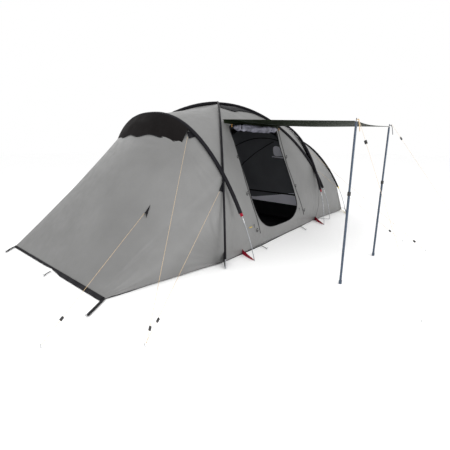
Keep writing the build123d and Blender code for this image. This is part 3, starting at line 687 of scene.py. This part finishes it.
long_low = angle_at(rising_right, 0.12)
crossed_low = angle_at(rising_left, 0.620)
arch_left_low = angle_at(left_arch, 0.615)
arch_right_low = angle_at(right_arch, 0.615)
end_low = angle_at(end_arch, 0.560)
SLEEVES = (
    ("sleeve_long_a", rising_right, long_low, math.pi - long_low, 0.026, 0.030),
    ("sleeve_long_c_front", rising_left, crossed_low, math.pi / 2 + 0.003, 0.052, 0.044),
    ("sleeve_long_c_rear", rising_left, math.pi / 2 - 0.003, math.pi - crossed_low, 0.080, 0.066),
    ("sleeve_arch_left", left_arch, arch_left_low, math.pi - arch_left_low, 0.054, 0.040),
    ("sleeve_arch_right", right_arch, arch_right_low, math.pi - arch_right_low, 0.052, 0.040),
    ("sleeve_arch_end", end_arch, end_low, math.pi - end_low, 0.046, 0.036),
)
for index, (name, pole, first, last, width, height) in enumerate(SLEEVES):
    piece = sleeve(name, pole, first, last, width, height)
    if index == 0:
        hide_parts("sleeves_long_poles")
    if index == 3:
        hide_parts("sleeves_arch_poles")

# Coloured tabs gather the ends of each arch sleeve round its pole.
for name, pole, low, material in (
    ("left_arch", left_arch, arch_left_low, RED_WEBBING),
                                  ("right_arch", right_arch, arch_right_low, RED_WEBBING),
    ("end_arch", end_arch, end_low, YELLOW_WEBBING),
):
    for side, sign in (("front", 1), ("rear", -1)):
        angles = steps(low - 0.022, low + 0.002, 5)
        path = [pole(angle) if sign > 0 else mirrored(pole(angle)) for angle in angles]
        tube(f"sleeve_tab_{name}_{side}", path, 0.022, material, sides=12, flat=0.55,
             up=lambda i, path=path: path[i] - Vector((path[i].x * 0.8, 0, 0.4)))

# ---------------------------------------------------------------- vent hood
HOOD_FIRST = 1.165
HOOD_EDGE = (
    (-1.500, -0.735, 1.452), (-1.545, -0.600, 1.484), (-1.560, -0.490, 1.522), (-1.585, -0.405, 1.530),
    (-1.590, -0.288, 1.556), (-1.600, -0.165, 1.570), (-1.632, 0.020, 1.540), (-1.605, 0.227, 1.566),
    (-1.612, 0.344, 1.534), (-1.600, 0.480, 1.500), (-1.560, 0.640, 1.470), (-1.505, 0.760, 1.430),
)


def open_curve(points, count):
    """A smooth line through a few points, evenly divided."""
    ends = [points[0], *points, points[-1]]
    line = []
    for i in range(count):
        place = i / (count - 1) * (len(points) - 1)
        k = min(len(points) - 2, int(place))
        t = place - k
        p0, p1, p2, p3 = (Vector(ends[k + n]) for n in range(4))
        line.append(0.5 * ((2 * p1) + (p2 - p0) * t + (2 * p0 - 5 * p1 + 4 * p2 - p3) * t * t
                           + (3 * p1 - p0 - 3 * p2 + p3) * t * t * t))
    return line


HOOD_COLUMNS = 90
hood_edge = open_curve(HOOD_EDGE, HOOD_COLUMNS)
hood_angles = steps(HOOD_FIRST, math.pi - HOOD_FIRST, HOOD_COLUMNS)
HOOD_ROWS = 30
points = []
for i in range(HOOD_ROWS):
    out = i / (HOOD_ROWS - 1)
    for angle, edge in zip(hood_angles, hood_edge):
        start = left_arch(angle) + Vector((-0.004, 0, 0.012))
        point = start + (edge - start) * out
        lift = 0.014 * math.sin(math.pi * out) * math.sin(angle)
        crease = 0.006 * math.sin(out * 9 + 3 * math.sin(angle * 5)) * math.sin(math.pi * out)
        points.append(point + Vector((-lift * 0.6, 0, lift + crease * 0.5)))
hood_cloth = thickened(add_mesh("hood_cloth", points, grid_faces(HOOD_ROWS, HOOD_COLUMNS), MESH_BLACK))
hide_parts("vent_hood")
tube("hood_rim", hood_edge, 0.005, BLACK_WEBBING, sides=8)

# ---------------------------------------------------------------- crown patch and flap
crown_points = []
CROWN_STEPS = 16
for i in range(CROWN_STEPS):
    for j in range(CROWN_STEPS):
        u, v = i / (CROWN_STEPS - 1) * 2 - 1, j / (CROWN_STEPS - 1) * 2 - 1
        droop = 0.020 * (u * u + v * v)
        crown_points.append(Vector((u * 0.150, v * 0.140, 2.064 - droop)))
crown_cloth = thickened(add_mesh("crown_patch_cloth", crown_points, grid_faces(CROWN_STEPS, CROWN_STEPS),
                                 BLACK))
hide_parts("crown_patch")

FLAP_EDGE = ((-0.365, 2.010), (-0.218, 1.983), (-0.066, 1.955), (0.022, 1.981), (0.243, 1.973),
             (0.393, 1.964),
             (0.568, 1.884), (0.651, 1.832))


def flap_surface(across, down):
    """The black flap on the door wall, from the long poles' crossing down to its free edge."""
    k = across * (len(FLAP_EDGE) - 1)
    i = min(len(FLAP_EDGE) - 2, int(k))
    t = k - i
    x_low = FLAP_EDGE[i][0] + (FLAP_EDGE[i + 1][0] - FLAP_EDGE[i][0]) * t
    low = FLAP_EDGE[i][1] + (FLAP_EDGE[i + 1][1] - FLAP_EDGE[i][1]) * t
    high = 2.060 - (2.060 - FLAP_EDGE[-1][1]) * across ** 1.8
    left, right = door_wall(0.02, high).x, door_wall(0.995, high).x
    x_high = left + (right - left) * min(1, across / 0.2)
    height = high + (low - high) * down
    return on_door_wall(x_high + (x_low - x_high) * down, height, 0.016 + 0.010 * math.sin(math.pi * down))


flap = sheet_grid("crown_flap", flap_surface, steps(0, 1, 30), steps(0, 1, 14), BLACK)

# ---------------------------------------------------------------- door canopy
CANOPY_CORNERS = {
    "inner_left": Vector((-0.680, -0.715, 1.776)), "inner_right": Vector((0.738, -0.748, 1.722)),
    "outer_left": Vector((-1.100, -2.757, 1.677)), "outer_right": Vector((0.040, -2.752, 1.655)),
}


def canopy_point(across, out):
    inner = CANOPY_CORNERS["inner_left"].lerp(CANOPY_CORNERS["inner_right"], across)
    outer = CANOPY_CORNERS["outer_left"].lerp(CANOPY_CORNERS["outer_right"], across)
    outer.y += 0.050 * math.sin(math.pi * across)
    pull = math.sin(math.pi * out)
    inwards = 0.022 * pull * (1 - 2 * across)
    sag = 0.028 * math.sin(math.pi * across) * pull + 0.010 * math.sin(math.pi * across) * out
    fold = 0.004 * math.sin(across * 16 + out * 2) * (1 - out) ** 2 * min(1, out * 8)
    point = inner.lerp(outer, out)
    return point + Vector((inwards, 0, fold - sag))


canopy = sheet_grid("canopy_cloth", canopy_point, steps(0, 1, 50), steps(0, 1.006, 70), CANOPY, body="canopy")
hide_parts("door_canopy")
for name, line in (
    ("canopy_hem_left", [canopy_point(0, out) for out in steps(0, 1, 40)]),
    ("canopy_hem_right", [canopy_point(1, out) for out in steps(0, 1, 40)]),
    ("canopy_hem_front", [canopy_point(across, 1) for across in steps(0, 1, 40)]),
):
    hem = tube(name, line, 0.0045, CANOPY, body="canopy", sides=8, flat=0.6)

# A strip of the canopy's black cloth hangs a little down the wall from its seam, in front of the doorway's top:
# painted shade for the gap under the canopy.
def canopy_shade_strip(across, down):
    seam = canopy_point(across, 0)
    depth = 0.050 + 0.022 * math.sin(math.pi * across)
    return seam + Vector((0, -0.012 - 0.010 * down, -depth * down + 0.002))


# Painted shade under the canopy, drawn as a strip of black canopy cloth.
painted_gap_shade = sheet_grid("canopy_shade_strip", canopy_shade_strip, steps(0, 1, 40), steps(0, 1, 6), CANOPY)

# Loops that tie the guylines to the canopy's outer corners, each with a short tail hanging down.
for side, corner, material in (
    ("left", CANOPY_CORNERS["outer_left"], CREAM_CORD),
                               ("right", CANOPY_CORNERS["outer_right"], GREY_WEBBING),
):
    turn = 1 if side == "right" else -1
    loop = [
        corner + Vector((0.012 * math.cos(a), -0.012 + 0.014 * math.sin(a), 0.012 + 0.004 * math.sin(2 * a)))
        for a in steps(0, 2 * math.pi, 25)
    ]
    tail = [corner + Vector((x * turn, y, z)) for x, y, z in (
        (0.010, -0.022, 0.012), (0.014, -0.032, -0.015), (0.013, -0.040, -0.055), (0.018, -0.047, -0.095),
    )]
    tube(f"canopy_tie_{side}", open_curve(loop, 25), 0.003, material, body="canopy", sides=8)
    tube(f"canopy_tie_tail_{side}", open_curve(tail, 16), 0.004, material, body="canopy", sides=8)

# ---------------------------------------------------------------- rolled-up door
ROLL_POINTS = ((-0.530, -0.795, 1.672), (-0.250, -0.782, 1.664), (0.030, -0.776, 1.658),
               (0.330, -0.796, 1.655),
               (0.600, -0.822, 1.655))
roll_axis = open_curve(ROLL_POINTS, 90)
ROLL_SIDES = 40
points = []
for i, middle in enumerate(roll_axis):
    t = i / (len(roll_axis) - 1)
    ends = min(1, (0.25 + 6 * t), (0.25 + 6 * (1 - t)))
    tied = 1 - 0.28 * math.exp(-((t - 0.16) / 0.03) ** 2) - 0.28 * math.exp(-((t - 0.84) / 0.03) ** 2)
    for k in range(ROLL_SIDES):
        turn = 2 * math.pi * k / ROLL_SIDES
        fold = 1 + 0.14 * math.sin(3 * turn + 9 * t) + 0.22 * noise.noise(Vector((t * 14,
                                                                                  math.cos(turn) * 1.6,
                                                                                  turn)))
        spiral = 1 + 0.06 * ((turn / (2 * math.pi)) % 1)
        radius = 0.048 * ends * tied * fold * spiral
        points.append(middle + Vector((0, math.cos(turn) * radius * 0.85, math.sin(turn) * radius)))
faces = grid_faces(len(roll_axis), ROLL_SIDES, closed=True)
faces.append(tuple(reversed(range(ROLL_SIDES))))
faces.append(tuple((len(roll_axis) - 1) * ROLL_SIDES + k for k in range(ROLL_SIDES)))
roll = add_mesh("rolled_door_cloth", points, faces, LILAC)
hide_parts("rolled_door")
for side, t in (("left", 0.16), ("right", 0.84)):
    middle = roll_axis[int(t * (len(roll_axis) - 1))]
    band = [middle + Vector((0, math.cos(a) * 0.030, math.sin(a) * 0.034)) for a in steps(0, 2 * math.pi, 25)]
    ribbon(f"roll_tie_{side}", band, 0.014, 0.003, BLACK_WEBBING, across=Vector((1, 0, 0)))

# ---------------------------------------------------------------- sleeping cabins
CABINS = {
    "left": ((-1.012, 1.150, 1.720), (-2.600, 0.880, 0.300)),
    "right": ((1.012, 1.150, 1.720), (2.045, 1.060, 1.340)),
}
CABIN_SHAPE = ((-1, 0.02), (-0.97, 0.3), (-0.86, 0.58), (-0.66, 0.81), (-0.35, 0.95), (0, 1), (0.35, 0.95),
               (0.66, 0.81), (0.86, 0.58), (0.97, 0.3), (1, 0.02))
CABIN_COLUMNS = 64
shape_line = open_curve([(across, up, 0) for across, up in CABIN_SHAPE], CABIN_COLUMNS)


def cabin_roof(side, along, k):
    (x0, half0, height0), (x1, half1, height1) = CABINS[side]
    point = shape_line[k]
    half, height = half0 + (half1 - half0) * along, height0 + (height1 - height0) * along
    bow = 1 - 0.02 * math.sin(math.pi * along)
    return Vector((x0 + (x1 - x0) * along, point.x * half * bow, point.y * height * bow + 0.004))


for side in ("left", "right"):
    rows = 24
    points = [cabin_roof(side, i / (rows - 1), k) for i in range(rows) for k in range(CABIN_COLUMNS)]
    roof = thickened(add_mesh(f"cabin_{side}_roof_cloth", points, grid_faces(rows, CABIN_COLUMNS), INNER))
    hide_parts(f"inner_tent_{side}_roof")
    sign = -1 if side == "left" else 1
    wall_x = sign * 1.001
    rows = 40
    points = []
    for i in range(rows):
        up = i / (rows - 1)
        for k in range(CABIN_COLUMNS):
            edge = shape_line[k]
            height = edge.y * 1.715
            ripple = 0.010 * math.sin(edge.x * 17 + 1.5 * up) * (1 - up) * math.sin(math.pi * up) * sign
            points.append(Vector((wall_x + ripple * 0.3, edge.x * 1.145, 0.034 + (height - 0.034) * up)))
    wall = thickened(add_mesh(f"cabin_{side}_wall_cloth", points, grid_faces(rows, CABIN_COLUMNS), INNER))
    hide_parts(f"inner_tent_{side}_wall")

FACE_X = 0.988          # just in front of the right cabin's wall


def wall_strip(name, outline, material, x=FACE_X):
    """A flat patch sewn on the right cabin's wall, from its outline in y and z."""
    count = len(outline)
    points = [Vector((x, y, z)) for y, z in outline] + [Vector((x + 0.004, y, z)) for y, z in outline]
    faces = [tuple(range(count)), tuple(reversed(range(count, 2 * count)))]
    faces += [(i, (i + 1) % count, count + (i + 1) % count, count + i) for i in range(count)]
    patch = add_mesh(name, points, faces, material, smooth=False)
    return patch


window = round_curve([(-0.52, 1.345), (-0.60, 1.372), (-0.74, 1.30), (-0.80, 1.215), (-0.70, 1.190),
                      (-0.55, 1.205)], 6)
wall_strip("cabin_window", [(p.x, p.y) for p in window], INNER_PALE)
wall_strip("cabin_window_sill", [(-0.50, 1.185), (-0.86, 1.165), (-0.86, 1.148), (-0.50, 1.170)], INNER_PALE)
wall_strip("cabin_floor_tub", [(1.10, 0.035), (1.10, 0.31), (-0.12, 0.31), (-1.12, 0.30), (-1.13, 0.035)],
           INNER_DARK)
wall_strip("cabin_pale_band", [(0.30, 0.318), (0.30, 0.372), (-0.12, 0.372), (-0.62, 0.46), (-1.12, 0.56),
                               (-1.12, 0.306), (-0.12, 0.312)], INNER_PALE)
wall_strip("cabin_dark_band", [(1.05, 0.488), (1.05, 0.512), (-1.05, 0.512), (-1.05, 0.488)], INNER_DARK,
           x=FACE_X - 0.006)
for name, stations in (
    ("cabin_arch_seam",
     ((0.62, 1.18), (0.42, 1.34), (0.205, 1.436), (-0.03, 1.50), (-0.274, 1.517), (-0.48, 1.50),
                         (-0.673, 1.443), (-0.84, 1.30))),
    ("cabin_door_seam",
     ((0.30, 0.52), (0.27, 0.80), (0.20, 1.00), (0.086, 1.094), (-0.12, 1.24), (-0.392, 1.391),
                         (-0.52, 1.45))),
):
    line = open_curve([(FACE_X + 0.006, y, z) for y, z in stations], 50)
    tube(name, line, 0.007, INNER_DARK, sides=8)

# ---------------------------------------------------------------- ground
floor_points = []
low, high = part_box("groundsheet")
FLOOR_COLUMNS, FLOOR_ROWS = 60, 30


def floor_half_width(x):
    stations = ((-2.88, 1.08), (-1.42, 1.33), (1.33, 1.215), (2.44, 1.27))
    for (x0, w0), (x1, w1) in zip(stations[:-1], stations[1:]):
        if x <= x1:
            return w0 + (w1 - w0) * (x - x0) / (x1 - x0)
    return stations[-1][1]


for x in steps(low.x, high.x, FLOOR_COLUMNS):
    for share in steps(-1, 1, FLOOR_ROWS):
        rise = 0.0012 * noise.noise(Vector((x * 6, share * 8, 0)))
        floor_points.append(Vector((x, share * floor_half_width(x), 0.0018 + abs(rise))))
floor_cloth = thickened(
    add_mesh("groundsheet_cloth", floor_points, grid_faces(FLOOR_COLUMNS, FLOOR_ROWS), FLOOR_CLOTH)
)
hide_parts("groundsheet")

# ---------------------------------------------------------------- hem, mud flap and straps
HEM_LINE = (
    (-2.950, -1.150), (-2.690, -1.198), (-2.330, -1.236), (-2.070, -1.268), (-1.710, -1.318),
            (-1.447, -1.392),
    (-1.055, -1.390), (-0.616, -1.385), (-0.260, -1.360), (0.250, -1.330), (0.711, -1.312), (1.366, -1.262),
    (1.800, -1.285), (2.250, -1.302), (2.515, -1.312),
)
front_hem = [Vector((x, y, 0.007)) for x, y in HEM_LINE]
rear_hem = [mirrored(point) for point in reversed(front_hem[1:])] + [Vector((*WING_CORNER_REAR, 0.007))]
for name, line in (
    ("hem_front", front_hem), ("hem_rear", rear_hem), ("hem_end", [front_hem[-1], rear_hem[0]]),
):
    piece = ribbon(name, line, 0.012, 0.006, BLACK_WEBBING, across=Vector((0, 0, 1)))
    if name == "hem_front":
        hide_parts("hem_piping")

flap_points = []
FLAP_COLUMNS = 80
for i, y in enumerate(steps(-1.160, 1.290, FLAP_COLUMNS)):
    pinch = (0.45 if y > 0 else 0.85) * (0.45 + 0.55 * min(1, abs(y + 0.03) / 0.25))
    for j in range(6):
        out = j / 5
        ripple = 0.004 * math.sin(y * 31) * out
        flap_points.append(Vector((-2.945 - 0.062 * out * pinch, y, 0.020 - 0.014 * out + ripple * 0.6)))
mud_flap = thickened(add_mesh("mud_flap_cloth", flap_points, grid_faces(FLAP_COLUMNS, 6), BLACK))
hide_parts("mud_flap")


def strap(name, points, width, material, across=None, thickness=0.0025, end_width=None):
    piece = ribbon(name, open_curve(points, 14), width, thickness, material, across=across,
                   end_width=end_width)
    return piece


straps = {
    "corner_strap_front": (((-2.958, -1.158, 0.012), (-3.08, -1.243, 0.013), (-3.214, -1.331, 0.012)), 0.034),
    "corner_strap_rear": (((-2.958, 1.282, 0.012), (-3.05, 1.200, 0.013), (-3.124, 1.109, 0.012)), 0.020),
    "corner_strap_rear_tie": (((-2.958, 1.270, 0.012), (-3.06, 1.160, 0.013), (-3.124, 1.102, 0.012)), 0.010),
    "middle_strap": (((-3.000, -0.050, 0.010), (-3.06, -0.088, 0.013), (-3.108, -0.132, 0.012)), 0.014),
    "hem_loop_left": (((-0.616, -1.392, 0.010), (-0.655, -1.470, 0.016), (-0.692, -1.540, 0.014)), 0.012),
    "hem_loop_right": (((0.711, -1.318, 0.010), (0.640, -1.410, 0.016), (0.562, -1.500, 0.014)), 0.012),
}
for index, (name, (points, width)) in enumerate(straps.items()):
    piece = strap(name, points, width, BLACK_WEBBING)
    if index == 0:
        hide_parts("pegging_straps")
for name in ("left", "right"):
    points = [(x, -y, z) for x, y, z in straps[f"hem_loop_{name}"][0]]
    strap(f"hem_loop_{name}_rear", points, 0.012, BLACK_WEBBING)

UPRIGHT = Vector((0, 0, 1))
for flip in (False, True):
    side = "rear" if flip else "front"
    sign = -1 if flip else 1

    def at(x, y, z):
        return (x, y * sign, z)

    piece = strap(f"arch_strap_left_{side}",
                  (at(-1.058, -1.388, 0.030), at(-1.11, -1.515, 0.020), at(-1.160, -1.650, 0.012)),
                  0.080, RED_WEBBING, across=UPRIGHT, end_width=0.014)
    strap(f"arch_strap_right_{side}",
          (at(1.366, -1.262, 0.040), at(1.24, -1.400, 0.026), at(1.106, -1.570, 0.012)),
                  0.085, RED_WEBBING, across=UPRIGHT, end_width=0.014)
    tab_points = (at(-1.455, -1.400, 0.085), at(-1.540, -1.486, 0.040), at(-1.602, -1.553, 0.008))
    tab = strap(f"long_strap_left_{side}", tab_points, 0.150, BLACK_WEBBING, across=UPRIGHT,
                end_width=0.012)
    grey = strap(f"long_strap_right_{side}",
                 (at(1.405, -1.268, 0.020), at(1.49, -1.370, 0.015), at(1.562, -1.478, 0.012)),
                 0.016, GREY_WEBBING)
    yellow = strap(f"end_strap_{side}",
                   (at(2.505, -1.330, 0.020), at(2.350, -1.455, 0.030), at(2.206, -1.556, 0.012)),
                   0.010, YELLOW_WEBBING)
    strap(f"end_strap_black_{side}",
          (at(2.500, -1.330, 0.060), at(2.420, -1.440, 0.075), at(2.300, -1.520, 0.050),
                                             at(2.206, -1.558, 0.014)), 0.014, BLACK_WEBBING)
    if not flip:
        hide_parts("arch_foot_straps")
        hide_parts("long_foot_straps")
        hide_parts("end_foot_straps")

# ---------------------------------------------------------------- patches where guylines are tied
PATCHES = {
    "hood_patch": ((-1.405, -0.735, 1.595), (-1.345, -0.800, 1.600), (-1.358, -0.850, 1.540),
                   (-1.428, -0.796, 1.516)),
    "left_gusset_patch": ((-1.298, -1.260, 1.020), (-1.292, -1.256, 1.012), (-1.356, -1.318, 0.876),
                          (-1.404, -1.282, 0.898)),
    "right_gusset_patch": ((1.262, -1.215, 1.020), (1.270, -1.212, 1.015), (1.318, -1.290, 0.900),
                           (1.285, -1.300, 0.915)),
}
for index, (name, corners) in enumerate(PATCHES.items()):
    first, second, third, fourth = (Vector(corner) for corner in corners)
    grid = []
    for i in range(8):
        for j in range(6):
            u, v = i / 7, j / 5
            grid.append(first.lerp(second, v).lerp(fourth.lerp(third, v), u))
    patch = thickened(add_mesh(name, grid, grid_faces(8, 6), BLACK))
    if index == 0:
        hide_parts("guy_patches")

dart_tip, dart_low, dart_side = Vector((-2.106, -0.833, 0.770)), Vector((-2.216, -0.838,
                                                                         0.668)), Vector((-2.212, -0.885,
                                                                                          0.640))
dart = []
for i in range(10):
    for j in range(6):
        u, v = i / 9, j / 5
        base = dart_low.lerp(dart_side, v)
        notch = Vector((0.030, 0, 0.028)) * (1 - abs(2 * v - 1))
        dart.append(dart_tip.lerp(base + notch, u) + Vector((-0.010, 0, 0.012)) * math.sin(math.pi * v) * u)
dart_piece = thickened(add_mesh("wing_dart", dart, grid_faces(10, 6), BLACK))

# ---------------------------------------------------------------- zips, toggles on the wall and the label
ZIPS = {
    "right": ((0.741, 1.688), (0.651, 1.492), (0.585, 1.273), (0.548, 1.100), (0.560, 0.930), (0.640, 0.620),
              (0.835, 0.187)),
    "left": ((-0.630, 1.640), (-0.715, 1.300), (-0.752, 1.000), (-0.742, 0.800), (-0.705, 0.595),
             (-0.651, 0.412),
             (-0.590, 0.171)),
}
for index, (side, stations) in enumerate(ZIPS.items()):
    line = [on_door_wall(p.x, p.y, 0.004) for p in open_curve([(x, z, 0) for x, z in stations], 70)]
    tape = ribbon(f"zip_tape_{side}", line, 0.012, 0.002, BLACK_WEBBING, across=Vector((1, 0, 0)))
    if index == 0:
        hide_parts("door_zips")
    teeth_points, teeth_faces = [], []
    for first, last in zip(line[:-1], line[1:]):
        for part in range(3):
            middle = first.lerp(last, part / 3) + Vector((0, -0.002, 0))
            start = len(teeth_points)
            for dx, dz in ((-0.003, -0.002), (0.003, -0.002), (0.003, 0.002), (-0.003, 0.002)):
                teeth_points += [middle + Vector((dx, 0.0012, dz)), middle + Vector((dx, -0.0012, dz))]
            ring = [start + n for n in (0, 2, 4, 6)]
            teeth_faces += [tuple(reversed(ring)), tuple(n + 1 for n in ring)]
            teeth_faces += [(ring[n], ring[(n + 1) % 4], ring[(n + 1) % 4] + 1,
                             ring[n] + 1) for n in range(4)]
    teeth = add_mesh(f"zip_teeth_{side}", teeth_points, teeth_faces, BLACK_PLASTIC, smooth=False)

WALL_TOGGLES = ((-0.753, 1.278), (-0.797, 0.784), (0.601, 1.223), (0.620, 0.732), (0.830, 0.275),
                (-0.679, 0.242))
for index, (x, z) in enumerate(WALL_TOGGLES):
    place = on_door_wall(x, z, 0.012)
    loop = [place + Vector((0.016 * math.cos(a), 0, 0.026 * math.sin(a))) for a in steps(0.6,
                                                                                         2 * math.pi - 0.6,
                                                                                         16)]
    tube(f"wall_loop_{index}", loop, 0.003, BLACK_WEBBING, sides=8)
    bar = [place + Vector((dx, -0.004, -0.004)) for dx in steps(-0.010, 0.022, 5)]
    tube(f"wall_toggle_{index}", bar, 0.005, BLACK_PLASTIC, sides=10)

label_spot = on_door_wall(-0.841, 0.318, 0.008)
label = ribbon("label_tab_cloth", [label_spot + Vector((dx, 0, 0)) for dx in steps(-0.034, 0.034, 6)], 0.011,
               0.002,
               YELLOW_WEBBING, across=Vector((0, 0, 1)))
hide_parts("label_tab")

# ---------------------------------------------------------------- better materials for the rigid pieces
def repaint(names, material):
    for name in names:
        node = NODES[name]
        if node.data.materials:
            for index in range(len(node.data.materials)):
                node.data.materials[index] = material
        else:
            node.data.materials.append(material)


repaint([n for n in NODES if n.startswith(("long_pole", "arch_pole"))], ALLOY)
repaint(("pole_ferrules", "pole_tips", "canopy_grommets", "ground_pegs"), STEEL)
repaint([n for n in NODES if n.startswith("canopy_pole") and not n.endswith("clamp")], BLUE_STEEL)
repaint([n for n in NODES if n.endswith("clamp") or n.startswith(("runner_", "zip_slider"))], BLACK_PLASTIC)
repaint([n for n in NODES if n.startswith("door_toggle")], ORANGE_PLASTIC)

# ---------------------------------------------------------------- floor and light
def studio():
    bpy.context.scene.view_settings.view_transform = "Standard"
    floor = add_mesh("floor", [(-30, -30, -0.001), (30, -30, -0.001), (30, 30, -0.001), (-30, 30, -0.001)],
                     [(0, 1, 2, 3)], FLOOR, body=None)
    world = bpy.data.worlds.new("studio")
    bpy.context.scene.world = world
    world.use_nodes = True
    background = world.node_tree.nodes["Background"]
    background.inputs["Color"].default_value = (1.0, 1.0, 1.0, 1)
    background.inputs["Strength"].default_value = 1.0
    for name, place, energy, size in (
        ("key", (-5.5, -4.0, 6.5), 150, 4.0), ("front", (-1.0, -7.0, 2.5), 140, 4.0),
                                      ("back", (1.0, 7.0, 6.0), 120, 5.0),
    ):
        data = bpy.data.lights.new(name, "AREA")
        data.energy = energy
        data.size = size
        lamp = bpy.data.objects.new(name, data)
        lamp.location = place
        lamp.rotation_euler = (Vector((0, 0, 0.8)) - Vector(place)).to_track_quat("-Z", "Y").to_euler()
        bpy.context.collection.objects.link(lamp)


FLOOR = plain_material("floor", (0.985, 0.985, 0.985), (1.0, 1.0, 1.0), 0.9, grain=2)
studio()
